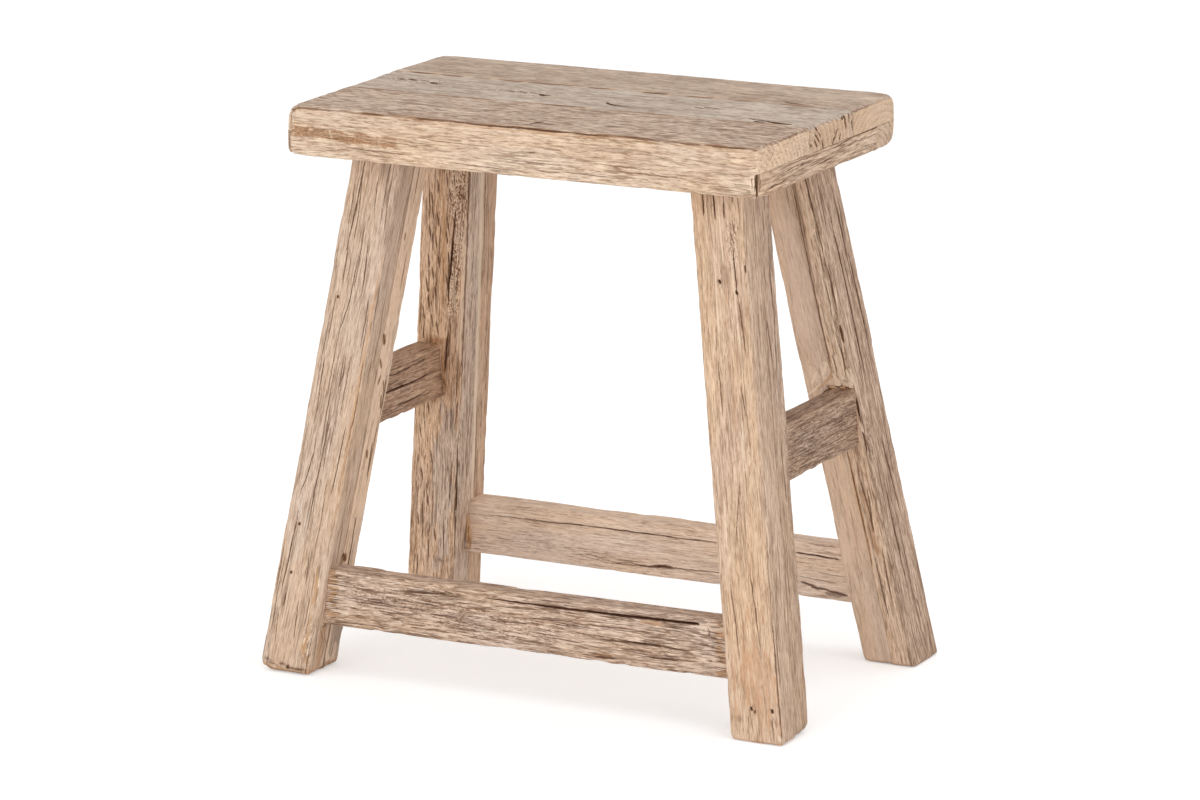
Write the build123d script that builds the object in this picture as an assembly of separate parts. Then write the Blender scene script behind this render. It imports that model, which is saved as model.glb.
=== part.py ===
from build123d import *
import os

os.makedirs("parts", exist_ok=True)

# The stool stands on the XY plane, centred on the origin, with X along the seat and Z up.
# All sizes are in millimetres.

# Overall sizes
stool_height = 450
seat_length = 406
seat_depth = 236
foot_span_length = 460
foot_span_depth = 272

# Seat boards: three boards side by side, the middle one takes what the outer two leave
board_thickness = 20
front_board_width = 86
back_board_width = 76

# Edge strips under the rim of the boards, and the cross cleats between them
strip_thickness = 19
strip_width = 35
cleat_width = 64

# Easing of the seat's edges
seat_corner_radius = 5
seat_top_radius = 3
seat_bottom_radius = 2.5

# Legs: each is glued up from two lengths of timber along a seam
leg_width = 44
leg_depth = 44
leg_edge_radius = 2.5
foot_chamfer = 3
leg_head_gap = 7
leg_tenon_side = 30
leg_seam_share = 0.5
back_right_seam_share = 0.58

# Stretchers and their tenons
stretcher_height = 45
stretcher_thickness = 21
stretcher_setback = 2.6
stretcher_edge_radius = 2
long_stretcher_rise = 43.5
side_stretcher_rise = 182
tenon_height = 31
tenon_thickness = 11
tenon_length = 24
tenon_end_clearance = 1

# Countersunk screws that hold the cleats to the boards
screw_length = 30
screw_shank_radius = 2
screw_head_radius = 4
screw_head_height = 2.6
screw_edge_distance = 13
screw_row_pitch = 60

# Places that follow from the sizes above
half_length = seat_length / 2
half_depth = seat_depth / 2
seat_underside = stool_height - board_thickness - strip_thickness
board_underside = stool_height - board_thickness
inner_half_length = half_length - strip_width
inner_half_depth = half_depth - strip_width
head_x = inner_half_length - leg_width / 2
head_y = inner_half_depth - leg_head_gap - leg_depth / 2
foot_x = foot_span_length / 2 - leg_width / 2
foot_y = foot_span_depth / 2 - leg_depth / 2


def span_box(low, high):
    """A box between two opposite corners."""
    size = [b - a for a, b in zip(low, high)]
    centre = [(a + b) / 2 for a, b in zip(low, high)]
    return Pos(*centre) * Box(*size)


def leg_centre(side_x, side_y, z):
    """Centre of a leg's level section at height z; the legs splay out towards the floor."""
    share = z / seat_underside
    x = foot_x + (head_x - foot_x) * share
    y = foot_y + (head_y - foot_y) * share
    return Vector(side_x * x, side_y * y, z)


# Seat

def seat_envelope():
    """The whole seat slab with its eased edges; boards and strips are cut out of it."""
    slab = span_box(
        (-half_length, -half_depth, seat_underside),
        (half_length, half_depth, stool_height),
    )
    slab = fillet(slab.edges().filter_by(Axis.Z), seat_corner_radius)
    slab = fillet(slab.edges().group_by(Axis.Z)[-1], seat_top_radius)
    return fillet(slab.edges().group_by(Axis.Z)[0], seat_bottom_radius)


def seat_board(envelope, y_low, y_high):
    """One full-length board of the top layer."""
    return envelope & span_box(
        (-half_length, y_low, board_underside),
        (half_length, y_high, stool_height),
    )


def edge_strip(envelope, outline):
    """One strip of the lower layer, from its outline seen from above."""
    face = make_face(Polyline(*outline, close=True))
    blank = extrude(Pos(0, 0, seat_underside) * face, strip_thickness)
    return envelope & blank


def front_strip_outline():
    """Mitred at both front corners."""
    return [
        (-half_length, -half_depth),
        (half_length, -half_depth),
        (inner_half_length, -inner_half_depth),
        (-inner_half_length, -inner_half_depth),
    ]


def back_strip_outline():
    """Runs the full length of the seat, with its end grain in the end faces."""
    return [
        (-half_length, inner_half_depth),
        (half_length, inner_half_depth),
        (half_length, half_depth),
        (-half_length, half_depth),
    ]


def end_strip_outline(side_x):
    """Mitred to the front strip, and cut square where it meets the back strip."""
    return [
        (side_x * half_length, -half_depth),
        (side_x * half_length, inner_half_depth),
        (side_x * inner_half_length, inner_half_depth),
        (side_x * inner_half_length, -inner_half_depth),
    ]


def cleat(side_x):
    """Cross cleat under the boards, mortised for the two legs at its end of the seat."""
    inner = side_x * (inner_half_length - cleat_width)
    outer = side_x * inner_half_length
    bar = span_box(
        (min(inner, outer), -inner_half_depth, seat_underside),
        (max(inner, outer), inner_half_depth, board_underside),
    )
    for side_y in (-1, 1):
        bar -= leg_tenon(side_x, side_y)
    return bar


# Legs

def leg_tenon(side_x, side_y):
    """Square tenon that goes up through the cleat to the underside of the boards."""
    return Pos(side_x * head_x, side_y * head_y, (seat_underside + board_underside) / 2) * Box(
        leg_tenon_side, leg_tenon_side, strip_thickness
    )


def leg_section(side_x, side_y, z, inset):
    """Level section of a leg at height z, drawn in by an inset all round."""
    outline = RectangleRounded(
        leg_width - 2 * inset, leg_depth - 2 * inset, leg_edge_radius
    )
    return Pos(leg_centre(side_x, side_y, z)) * outline


def leg_bar(side_x, side_y):
    """The splayed bar of a leg, eased round the foot, before any joint is cut."""
    sections = [
        leg_section(side_x, side_y, 0, foot_chamfer),
        leg_section(side_x, side_y, foot_chamfer, 0),
        leg_section(side_x, side_y, seat_underside, 0),
    ]
    return loft([section.face() for section in sections], ruled=True)


def leg_seam(side_x, side_y):
    """The glue seam: it follows the leg's splay and divides its depth, or its width."""
    foot = leg_centre(side_x, side_y, 0)
    slope = leg_centre(side_x, side_y, seat_underside) - foot
    if side_x > 0 and side_y > 0:
        shift = (back_right_seam_share - leg_seam_share) * leg_width
        normal = Vector(0, 1, 0).cross(slope)
        return Plane(origin=foot + Vector(side_x * shift, 0, 0), z_dir=normal)
    normal = Vector(1, 0, 0).cross(slope)
    return Plane(origin=foot, z_dir=normal)


def leg_halves(side_x, side_y, mortises):
    """The two glued lengths of one leg, with the mortises cut through both."""
    leg = leg_bar(side_x, side_y) + leg_tenon(side_x, side_y)
    for mortise in mortises:
        leg -= mortise
    seam = leg_seam(side_x, side_y)
    halves = [split(leg, bisect_by=seam, keep=side) for side in (Keep.TOP, Keep.BOTTOM)]
    halves.sort(key=lambda half: abs(half.center().X) + abs(half.center().Y))
    return {"inner": halves[0], "outer": halves[1]}


# Stretchers

def level_bar(runs_along, middle, z, half_span, thickness, height):
    """A level bar along X or Y, centred on the stool, at a distance middle from its centre line."""
    low = [-half_span, middle - thickness / 2, z - height / 2]
    high = [half_span, middle + thickness / 2, z + height / 2]
    if runs_along == "Y":
        low[0], low[1] = low[1], low[0]
        high[0], high[1] = high[1], high[0]
    return span_box(low, high)


def stretcher(runs_along, side, end_clearance=None):
    """A stretcher and its tenons or, with an end clearance given, the cutter for their mortises."""
    lengthwise = runs_along == "X"
    rise = long_stretcher_rise if lengthwise else side_stretcher_rise
    z = rise + stretcher_height / 2
    half_leg_along = leg_width / 2 if lengthwise else leg_depth / 2
    half_leg_across = leg_depth / 2 if lengthwise else leg_width / 2
    centre = leg_centre(1, 1, z)
    top = leg_centre(1, 1, rise + stretcher_height)
    shoulder = (centre.X if lengthwise else centre.Y) - half_leg_along
    outer_face = (top.Y if lengthwise else top.X) + half_leg_across - stretcher_setback
    middle = side * (outer_face - stretcher_thickness / 2)
    tenon_reach = shoulder + tenon_length
    if end_clearance is not None:
        mortise_reach = tenon_reach + end_clearance
        return level_bar(runs_along, middle, z, mortise_reach, tenon_thickness, tenon_height)
    bar_reach = shoulder + half_leg_along
    bar = level_bar(runs_along, middle, z, bar_reach, stretcher_thickness, stretcher_height)
    long_edges = bar.edges().filter_by(Axis.X if lengthwise else Axis.Y)
    bar = fillet(long_edges, stretcher_edge_radius)
    for end in (-1, 1):
        bar -= leg_bar(end, side) if lengthwise else leg_bar(side, end)
    return bar + level_bar(runs_along, middle, z, tenon_reach, tenon_thickness, tenon_height)


# Screws

def cleat_screw(x, y):
    """Countersunk screw driven up through a cleat, its head flush with the underside."""
    head = Cone(screw_head_radius, screw_shank_radius, screw_head_height)
    shank_length = screw_length - screw_head_height
    shank = Cylinder(screw_shank_radius, shank_length)
    head_middle = seat_underside + screw_head_height / 2
    shank_middle = seat_underside + screw_head_height + shank_length / 2
    return Pos(x, y, head_middle) * head + Pos(x, y, shank_middle) * shank


def cleat_screws():
    """For each cleat a row of three beside the legs, and one between the legs."""
    screws = []
    for side_x in (-1, 1):
        row_x = side_x * (inner_half_length - cleat_width + screw_edge_distance)
        for step in (-1, 0, 1):
            screws.append(cleat_screw(row_x, step * screw_row_pitch))
        screws.append(cleat_screw(side_x * head_x, 0))
    return screws


# Assembly

def build():
    """All pieces of the stool, by node name."""
    nodes = {}
    envelope = seat_envelope()
    screws = cleat_screws()

    front_seam = -half_depth + front_board_width
    back_seam = half_depth - back_board_width
    nodes["seat_board_front"] = seat_board(envelope, -half_depth, front_seam)
    nodes["seat_board_middle"] = seat_board(envelope, front_seam, back_seam)
    nodes["seat_board_back"] = seat_board(envelope, back_seam, half_depth)

    nodes["edge_strip_front"] = edge_strip(envelope, front_strip_outline())
    nodes["edge_strip_back"] = edge_strip(envelope, back_strip_outline())
    nodes["edge_strip_left"] = edge_strip(envelope, end_strip_outline(-1))
    nodes["edge_strip_right"] = edge_strip(envelope, end_strip_outline(1))

    nodes["cleat_left"] = cleat(-1)
    nodes["cleat_right"] = cleat(1)
    for name in nodes:
        if name.startswith(("seat_board", "cleat")):
            for screw in screws:
                nodes[name] = nodes[name] - screw

    rows = (("front", -1), ("back", 1))
    columns = (("left", -1), ("right", 1))
    for y_name, side_y in rows:
        nodes[f"stretcher_{y_name}"] = stretcher("X", side_y)
    for x_name, side_x in columns:
        nodes[f"stretcher_{x_name}"] = stretcher("Y", side_x)

    for y_name, side_y in rows:
        for x_name, side_x in columns:
            mortises = [
                stretcher("X", side_y, tenon_end_clearance),
                stretcher("Y", side_x, tenon_end_clearance),
            ]
            halves = leg_halves(side_x, side_y, mortises)
            for half_name, half in halves.items():
                nodes[f"leg_{y_name}_{x_name}_{half_name}"] = half

    nodes["cleat_screws"] = Compound(children=[Compound([screw.solid()]) for screw in screws])
    return nodes


for name, piece in build().items():
    export_step(piece, f"parts/{name}.step")
    print(name, len(piece.solids()), "solid", round(piece.volume), "mm3")
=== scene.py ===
import math

import bmesh
import bpy
import numpy as np
from mathutils import Matrix, Vector


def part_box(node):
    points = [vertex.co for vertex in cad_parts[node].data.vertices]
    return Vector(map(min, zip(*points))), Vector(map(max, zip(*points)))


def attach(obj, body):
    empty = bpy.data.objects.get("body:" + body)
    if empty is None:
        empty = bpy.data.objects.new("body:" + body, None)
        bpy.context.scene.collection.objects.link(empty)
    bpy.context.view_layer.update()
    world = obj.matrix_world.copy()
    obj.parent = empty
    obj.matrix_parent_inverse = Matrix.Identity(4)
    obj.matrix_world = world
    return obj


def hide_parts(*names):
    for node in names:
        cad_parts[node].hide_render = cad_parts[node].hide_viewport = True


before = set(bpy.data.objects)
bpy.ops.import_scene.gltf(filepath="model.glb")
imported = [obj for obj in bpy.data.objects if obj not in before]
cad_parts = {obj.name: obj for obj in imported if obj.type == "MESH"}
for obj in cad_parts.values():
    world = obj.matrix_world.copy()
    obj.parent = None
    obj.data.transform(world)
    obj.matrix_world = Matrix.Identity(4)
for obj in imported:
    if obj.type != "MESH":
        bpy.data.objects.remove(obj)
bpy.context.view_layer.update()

# Units: the timber is set out and carved in millimetres, and its meshes are written in metres.
MM = 0.001

# The net that each bar is cut into before it is carved
CELL_ALONG = 2.5
CELL_ACROSS = 1.0
MOST_CUTS = 100
ROW_CROWDING = 1.35

# Legs: the level section, and the centre line from the foot up to the underside of the seat
LEG_SIDE = 44.0
LEG_FOOT = (208, 114)
LEG_HEAD = (146, 54)
SEAM_SHARE = 0.5
BACK_RIGHT_SEAM_SHARE = 0.58

# Stretchers
LONG_RISE = (43.5, 88.5)
SIDE_RISE = (182, 227)
STRETCHER_THICKNESS = 21.0
STRETCHER_SETBACK = 2.6
HOUSED_DEPTH = 0.8

# How far the sharp edges of the bars have been eased by hand and by use
SEAM_EASE = 0.7
LEG_EASE = 2.6
STRETCHER_EASE = 2.2
HIDDEN_EASE = 0.35

# The finished seat slab: how far each of its edges is rounded, whichever piece it crosses
SLAB_EASE = {
    ("left", "front"): 5, ("right", "front"): 3.2, ("left", "back"): 8, ("right", "back"): 6.5,
    ("left", "under"): 4, ("right", "under"): 3.2, ("left", "top"): 5.5, ("right", "top"): 4,
    ("front", "under"): 2.4, ("back", "under"): 2.6, ("front", "top"): 2, ("back", "top"): 3,
}

# Towards a corner of the slab its three edges grow as round as this
SLAB_CORNER_EASE = {
    ("left", "front", "under"): 5.5, ("right", "front", "under"): 4,
    ("left", "back", "under"): 8, ("right", "back", "under"): 9,
    ("left", "front", "top"): 9, ("right", "front", "top"): 4.5,
    ("left", "back", "top"): 6, ("right", "back", "top"): 7.5,
}
CORNER_REACH = 20.0

# The whole slab was sanded as one, so one slow wave runs over all its pieces
SLAB_SWAY_CELL = 45.0
SLAB_SEED = 5

# The worn rims of the feet, by leg
FOOT_EASE = {
    ("front", "left"): {"left": 12, "right": 3.5, "front": 5.5, "back": 5},
    ("front", "right"): {"left": 6, "right": 6, "front": 2.4, "back": 7},
    ("back", "left"): {"left": 5, "right": 5, "front": 3.5, "back": 4},
    ("back", "right"): {"left": 6, "right": 3, "front": 2.2, "back": 4},
}

# How far the dirt of the floor has crept up the feet
FOOT_STAIN = {
    ("front", "left"): 6, ("front", "right"): 1.5, ("back", "left"): 4, ("back", "right"): 1.5,
}

# Sides of a bar: the axis that a side faces, and its end of that axis
SIDES = {
    "left": (0, 0), "right": (0, 1),
    "front": (1, 0), "back": (1, 1),
    "under": (2, 0), "top": (2, 1),
}
AXIS_PAIRS = ((0, 1), (1, 2), (0, 2))

# What the surface is like, from 0 to 1 at each point: hollow is the dark of cracks, holes,
# seams and gaps, partly painted shade and partly dirt and dark wood there
MARKS = ("hollow", "skin", "stain", "bare", "rough", "end_grain")

# How much of a crack's painted shade and dirt its lips take
LIP_SHADE_AND_DIRT = 0.12

# How long a small round mark is, beyond its width
DOT_STRETCH = 0.25

# The rings of a small round hole: each one's number, its share of the radius and of the depth
HOLE_RINGS = ((0, 0, 1), (1, 0.75, 0.8), (2, 1, 0))

# Sharper turns of the carved surface than this, in degrees, are shaded as edges
SHARP_ANGLE = 50

# How deep the core lies that a bar's surface, and the finished slab's, is pressed towards
CORE_DEPTH = 1.2
SLAB_CORE_DEPTH = 4

# Further than anything on the stool
FAR_AWAY = 1e3


def box_mm(node):
    low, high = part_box(node)
    return np.array(low) / MM, np.array(high) / MM


# The seat slab, from the boards on its top and the strips round its rim
SLAB_LOW = box_mm("edge_strip_front")[0]
SLAB_HIGH = np.maximum(box_mm("seat_board_back")[1], box_mm("edge_strip_back")[1])
SLAB_MIDDLE = (SLAB_LOW + SLAB_HIGH) / 2
SLAB_HALF = (SLAB_HIGH - SLAB_LOW) / 2


# Random patterns that are the same on every run: large numbers scatter their cells

CELL_STRIDES = np.array([73856093, 19349663, 83492791])
SEED_STRIDE = 2654435761
STIRS = ((15, 2246822519), (13, 3266489917))


def lattice_noise(points, seed):
    """Smooth values from 0 to 1 over points whose cells are 1 wide."""
    cell = np.floor(points).astype(np.int64)
    part = points - cell
    part = part * part * (3 - 2 * part)
    total = np.zeros(len(points))
    for corner in np.ndindex(2, 2, 2):
        corner = np.array(corner)
        weight = np.prod(np.where(corner, part, 1 - part), axis=1)
        key = (cell + corner) @ CELL_STRIDES + seed * SEED_STRIDE
        for shift, factor in STIRS:
            key = ((key ^ (key >> shift)) * factor) & 0x7FFFFFFF
        total += weight * (key & 0xFFFF) / 0xFFFF
    return total


def ramp(value, low, high):
    """Rises smoothly from 0 to 1 between two values."""
    share = np.clip((value - low) / (high - low), 0, 1)
    return share * share * (3 - 2 * share)


# Sawing: a bar starts as a block at its size and place, and is cut into a fine net

def sawn_blank(name, low, high, place, slides):
    """A block between two corners, with chosen corners slid for its splay or its mitres."""
    low, high, place = Vector(low), Vector(high), Vector(place)
    bpy.ops.object.select_all(action="DESELECT")
    bpy.ops.mesh.primitive_cube_add(size=1, location=((low + high) / 2 + place) * MM)
    bar = bpy.context.object
    bar.name = name
    bar.data.name = name
    bar.scale = (high - low) * MM
    bpy.ops.object.transform_apply(location=True, rotation=False, scale=True)
    middle = sum((corner.co for corner in bar.data.vertices), Vector()) / 8
    lay = bar.data.attributes.new("lay", "FLOAT_VECTOR", "POINT")
    for corner, share in zip(bar.data.vertices, lay.data):
        share.vector = [float(corner.co[axis] > middle[axis]) for axis in range(3)]
    for where, shift in slides:
        slide_corners(bar, where, shift)
    return bar


def slide_corners(bar, where, shift):
    """Moves the corners that lie at the given ends of the given axes."""
    bpy.ops.object.mode_set(mode="EDIT")
    bpy.ops.mesh.select_all(action="DESELECT")
    net = bmesh.from_edit_mesh(bar.data)
    lay = net.verts.layers.float_vector["lay"]
    for corner in net.verts:
        if all(round(corner[lay][axis]) == end for axis, end in where.items()):
            corner.select_set(True)
    bmesh.update_edit_mesh(bar.data)
    bpy.ops.transform.translate(value=Vector(shift) * MM)
    bpy.ops.object.mode_set(mode="OBJECT")


def read_vectors(attribute):
    values = np.empty(len(attribute.data) * 3, np.float32)
    attribute.data.foreach_get("vector", values)
    return values.reshape(-1, 3).astype(float)


def cut_net(bar, axis, cells):
    """Cuts the faces into cells along one axis, by subdividing the edges that run that way."""
    steps = []
    while cells - 1 > MOST_CUTS:
        steps.append(1)
        cells = cells // 2
    steps.append(cells - 1)
    for cuts in steps:
        mesh = bar.data
        lay = read_vectors(mesh.attributes["lay"])
        ends = np.empty(len(mesh.edges) * 2, np.int32)
        mesh.edges.foreach_get("vertices", ends)
        ends = ends.reshape(-1, 2)
        runs_along = np.abs(lay[ends[:, 0], axis] - lay[ends[:, 1], axis]) > 1e-5
        mesh.polygons.foreach_set("select", np.zeros(len(mesh.polygons), bool))
        mesh.vertices.foreach_set("select", np.zeros(len(mesh.vertices), bool))
        mesh.edges.foreach_set("select", runs_along)
        bpy.context.tool_settings.mesh_select_mode = (False, True, False)
        bpy.ops.object.mode_set(mode="EDIT")
        bpy.ops.mesh.subdivide(number_cuts=cuts)
        bpy.ops.mesh.select_all(action="DESELECT")
        bpy.ops.object.mode_set(mode="OBJECT")
        bpy.context.tool_settings.mesh_select_mode = (True, False, False)


def even_cells(length, cell):
    """A number of cells that cut_net can halve until it is within its most cuts."""
    cells = max(2, round(length / cell))
    while cells > MOST_CUTS and cells % 4:
        cells += 1
    return cells


def side_at(axis, end):
    return next(side for side in SIDES if SIDES[side] == (axis, end))


def edge_radii(out, first, second, radius_of):
    """The radius of the edge along which each point lies: out is measured from the middle."""
    radius = np.zeros(len(out))
    for ends in np.ndindex(2, 2):
        there = ((out[:, first] > 0) == ends[0]) & ((out[:, second] > 0) == ends[1])
        radius[there] = radius_of((side_at(first, ends[0]), side_at(second, ends[1])))
    return radius


def rounded(out, half, first, second, radius):
    """Draws points near an edge of a box in onto its rounding; out is measured from its middle."""
    radius = np.maximum(radius, 1e-3)
    into = [
        np.clip((np.abs(out[:, axis]) - half[axis] + radius) / radius, 0, None)
        for axis in (first, second)
    ]
    near = (into[0] > 0) & (into[1] > 0)
    scale = np.where(near, np.maximum(*into) / np.maximum(np.hypot(*into), 1e-6), 1)
    for axis, value in zip((first, second), into):
        eased = np.sign(out[:, axis]) * (half[axis] - radius + radius * value * scale)
        out[:, axis] = np.where(near, eased, out[:, axis])


class Timber:
    """A bar under the carver's hand. Its points are kept in millimetres: for a level bar they are
    its places on the stool, and for a leg its offsets from the leg's centre line and its height."""

    def __init__(
        self, name, grain, low, high, seed, place=(0, 0, 0), slides=(), hidden=(), cells=None
    ):
        self.name = name
        self.grain = grain
        self.seed = seed
        self.low = np.array(low, float)
        self.size = np.array(high, float) - self.low
        self.hidden = hidden
        self.bar = sawn_blank("carved_" + name, low, high, place, slides)
        self.corners = np.empty((2, 2, 2, 3))
        lay = read_vectors(self.bar.data.attributes["lay"])
        for corner, share in zip(self.bar.data.vertices, lay):
            self.corners[tuple(np.rint(share).astype(int))] = np.array(corner.co) / MM
        self.cells = cells or [
            even_cells(self.size[axis], CELL_ALONG if axis == grain else CELL_ACROSS)
            for axis in range(3)
        ]
        for axis in range(3):
            cut_net(self.bar, axis, self.cells[axis])
        self.share = read_vectors(self.bar.data.attributes["lay"])
        self.bar.data.attributes.remove(self.bar.data.attributes["lay"])
        self.row = np.rint(self.share * self.cells).astype(int)
        self.rows = [self.row_places(axis) for axis in range(3)]
        self.straight = np.stack([self.rows[axis][self.row[:, axis]] for axis in range(3)], axis=1)
        self.point = self.straight.copy()
        self.lean = None
        self.outward = np.zeros_like(self.point)
        self.marks = {mark: np.zeros(len(self.point)) for mark in MARKS}
        end_caps = (self.row[:, grain] == 0) | (self.row[:, grain] == self.cells[grain])
        self.marks["end_grain"][end_caps] = 1
        self.drawn = []
        self.direction = None

    def row_places(self, axis):
        """Where the rows of the net lie: even along the grain, closer near the edges across it."""
        share = np.arange(self.cells[axis] + 1) / self.cells[axis]
        if axis != self.grain:
            out = 2 * share - 1
            share = 0.5 + 0.5 * np.sign(out) * (1 - (1 - np.abs(out)) ** ROW_CROWDING)
        return self.low[axis] + self.size[axis] * share

    def on(self, side):
        axis, end = SIDES[side]
        return self.row[:, axis] == (self.cells[axis] if end else 0)

    def across(self, side):
        """The axis that runs across the grain on a side."""
        return ({0, 1, 2} - {self.grain, SIDES[side][0]}).pop()

    def noise(self, along, across, seed=0):
        """Noise over the bar, with cells of the given lengths along and across the grain."""
        cell = np.full(3, float(across))
        cell[self.grain] = along
        return lattice_noise(self.point / cell + 50, self.seed * 31 + seed)

    def showing(self):
        """1 where the surface shows, 0 on the sides that lie against other pieces."""
        shown = np.ones(len(self.point))
        for side in self.hidden:
            shown[self.on(side)] = 0
        return shown

    def ease(self, radii, rims=(), wear=0.5):
        """Rounds the edges of the bar: each takes the smaller radius of its two sides, unless
        rims gives it one of its own. Then the bar takes its splay or its mitres."""
        half = self.size / 2
        middle = self.low + half
        worn = 1 + wear * (self.noise(38, 30, 5) - 0.5) * 2
        out = self.point - middle
        rims = dict(rims)
        for first, second in AXIS_PAIRS:
            radius = edge_radii(
                out, first, second, lambda pair: rims.get(pair, min(radii[side] for side in pair))
            )
            rounded(out, half, first, second, radius * worn)
        self.find_outward(out, half)
        self.point = middle + out
        share = out / self.size + 0.5
        place = np.zeros_like(out)
        for corner in np.ndindex(2, 2, 2):
            weight = np.prod(np.where(np.array(corner), share, 1 - share), axis=1)
            place += weight[:, None] * self.corners[corner]
        self.lean = place - self.point

    def stand_in_place(self):
        """From here on the points are places on the stool, also at slanted and mitred ends."""
        self.point = self.point + self.lean
        self.lean = np.zeros_like(self.point)

    def find_outward(self, out, half):
        core = np.clip(out, -(half - CORE_DEPTH), half - CORE_DEPTH)
        self.outward = out - core
        length = np.linalg.norm(self.outward, axis=1, keepdims=True)
        self.outward /= np.maximum(length, 1e-6)

    def join_slab(self, wear=0.35):
        """Rounds whatever part of the finished seat's edges runs over this piece."""
        self.stand_in_place()
        worn = lattice_noise(self.point / SLAB_SWAY_CELL + 20, SLAB_SEED)
        worn = 1 + wear * (worn - 0.5) * 2
        out = self.point - SLAB_MIDDLE
        ball = np.zeros(len(out))
        for names, value in SLAB_CORNER_EASE.items():
            there = [(out[:, SIDES[side][0]] > 0) == SIDES[side][1] for side in names]
            ball[np.all(there, axis=0)] = value
        inside = SLAB_HALF - np.abs(out)
        for first, second in AXIS_PAIRS:
            radius = edge_radii(out, first, second, SLAB_EASE.get)
            near = 1 - ramp(inside[:, 3 - first - second], 0, CORNER_REACH)
            rounded(out, SLAB_HALF, first, second, radius * worn * (1 - near) + ball * near)
        moved = out + SLAB_MIDDLE - self.point
        bent = np.linalg.norm(moved, axis=1) > 1e-6
        core = np.clip(out, SLAB_CORE_DEPTH - SLAB_HALF, SLAB_HALF - SLAB_CORE_DEPTH)
        turned = out - core
        turned /= np.maximum(np.linalg.norm(turned, axis=1, keepdims=True), 1e-6)
        self.outward[bent] = turned[bent]
        self.point = SLAB_MIDDLE + out

    def edge_closeness(self, reach):
        """1 on the edges between two showing sides, falling to 0 at a distance from them."""
        half = self.size / 2
        gap = half - np.abs(self.straight - self.low - half)
        away = np.full(len(self.point), FAR_AWAY)
        for first, second in AXIS_PAIRS:
            distance = np.hypot(gap[:, first], gap[:, second])
            for side in self.hidden:
                axis, end = SIDES[side]
                if axis in (first, second):
                    near_hidden = (self.share[:, axis] > 0.5) == bool(end)
                    distance = np.where(near_hidden, FAR_AWAY, distance)
            away = np.minimum(away, distance)
        return np.clip(1 - away / reach, 0, 1)

    def press(self, depth):
        """Moves the surface inwards."""
        self.point = self.point - self.outward * (depth * self.showing())[:, None]

    def swell(self, amount):
        """Moves the sides outwards, and the ends not."""
        aside = self.outward.copy()
        aside[:, self.grain] = 0
        self.point = self.point + aside * (amount * self.showing())[:, None]

    def weather(self, sway=0.5, ridge=0.22, chips=0.7, slab=False):
        """Shrinkage hollows, raised grain and knocked edges."""
        hollows = self.noise(95, 26, 1)
        if slab:
            hollows = lattice_noise(self.point / SLAB_SWAY_CELL + 50, SLAB_SEED)
        grain = self.noise(48, 3.4, 2) * 0.7 + self.noise(17, 1.7, 3) * 0.3
        close = self.edge_closeness(4.5)
        knocks = ramp(self.noise(11, 7, 4), 0.58, 0.82)
        depth = sway * hollows + ridge * grain + chips * knocks * close
        self.press(depth)
        self.add_mark("bare", close * ramp(self.noise(30, 9, 6), 0.45, 0.8) * 0.55)

    def add_mark(self, mark, value):
        self.marks[mark] = np.maximum(self.marks[mark], np.clip(value, 0, 1))

    def crack(
        self, side, path, width=0.9, depth=2.0, wander=0.5, dark=1.0, seed=0, lip=LIP_SHADE_AND_DIRT,
        blunt=False
    ):
        """A split that follows the grain on one side, along a path of (along, across) places. A
        blunt one is widest at its far end."""
        across = self.across(side)
        stations, places = zip(*sorted(path))
        along = self.point[:, self.grain]
        share = (along - stations[0]) / (stations[-1] - stations[0])
        there = self.on(side) & (share > 0) & (share < 1)
        drift = np.stack([along / 9, np.full_like(along, seed), np.zeros_like(along)], axis=1)
        drift = (lattice_noise(drift + 7, self.seed + seed) - 0.5) * 2 * wander
        line = np.interp(along, stations, places) + drift
        taper = np.clip(4 * share * (1 - share), 0, 1) ** 0.45
        if blunt:
            taper = np.clip(1.2 * share, 0, 1) ** 0.6
        pulse = np.stack([along / 6, np.zeros_like(along), np.full_like(along, seed)], axis=1)
        taper = taper * (0.6 + 0.4 * lattice_noise(pulse + 3, self.seed + seed + 1))
        rows = self.rows[across]
        step = self.row[:, across] - np.rint(np.interp(line, rows, np.arange(len(rows))))
        floor = there & (step == 0)
        lips = there & (np.abs(step) == 1)
        self.point[floor, across] = line[floor]
        self.point[lips, across] = (line + step * width / 2 * taper)[lips]
        self.point[floor] -= self.outward[floor] * (depth * taper[floor])[:, None]
        # The floor and lips of the split are darkened with painted shade as well as dirt
        for rows_hit, share in ((floor, 1), (lips, lip)):
            stain = dark * share * np.clip(taper[rows_hit] * 1.4, 0, 1)
            self.marks["hollow"][rows_hit] = np.maximum(self.marks["hollow"][rows_hit], stain)

    def checks(self, side, count, length=(12, 45), depth=0.6, dark=0.4, seed=100, width=1.2):
        """Short drying checks scattered over a side."""
        across = self.across(side)
        draw = np.random.default_rng(self.seed * 1000 + seed)
        start, reach = self.low[self.grain], self.size[self.grain]
        low, wide = self.low[across], self.size[across]
        for number in range(count):
            run = draw.uniform(*length)
            at = start + draw.uniform(0.01, 0.99) * reach
            place = low + draw.uniform(0.06, 0.94) * wide
            slope = draw.uniform(-0.02, 0.02)
            size = draw.uniform(0.5, 1)
            path = ((at, place), (at + run, place + run * slope))
            self.crack(side, path, width * size, depth * size, 0.3, dark * size, seed + number)

    def oval(self, side, centre, reach):
        """How far out each point lies in an oval on a side, with 1 on its outline: reach is its
        half length and half width."""
        away = (self.point[:, [self.grain, self.across(side)]] - centre) / reach
        return np.hypot(away[:, 0], away[:, 1])

    def gouge(self, side, centre, reach, depth, dark=0.0, rough=0.0):
        """A shallow hollow with an oval outline, or a lump where its depth is below 0."""
        edge = self.oval(side, centre, reach) + rough * (self.noise(4, 2.5, 9) - 0.5)
        inside = self.on(side) * (1 - ramp(edge, 0.25, 1))
        self.point -= self.outward * (depth * inside)[:, None]
        self.add_mark("hollow", inside * dark)

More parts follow.
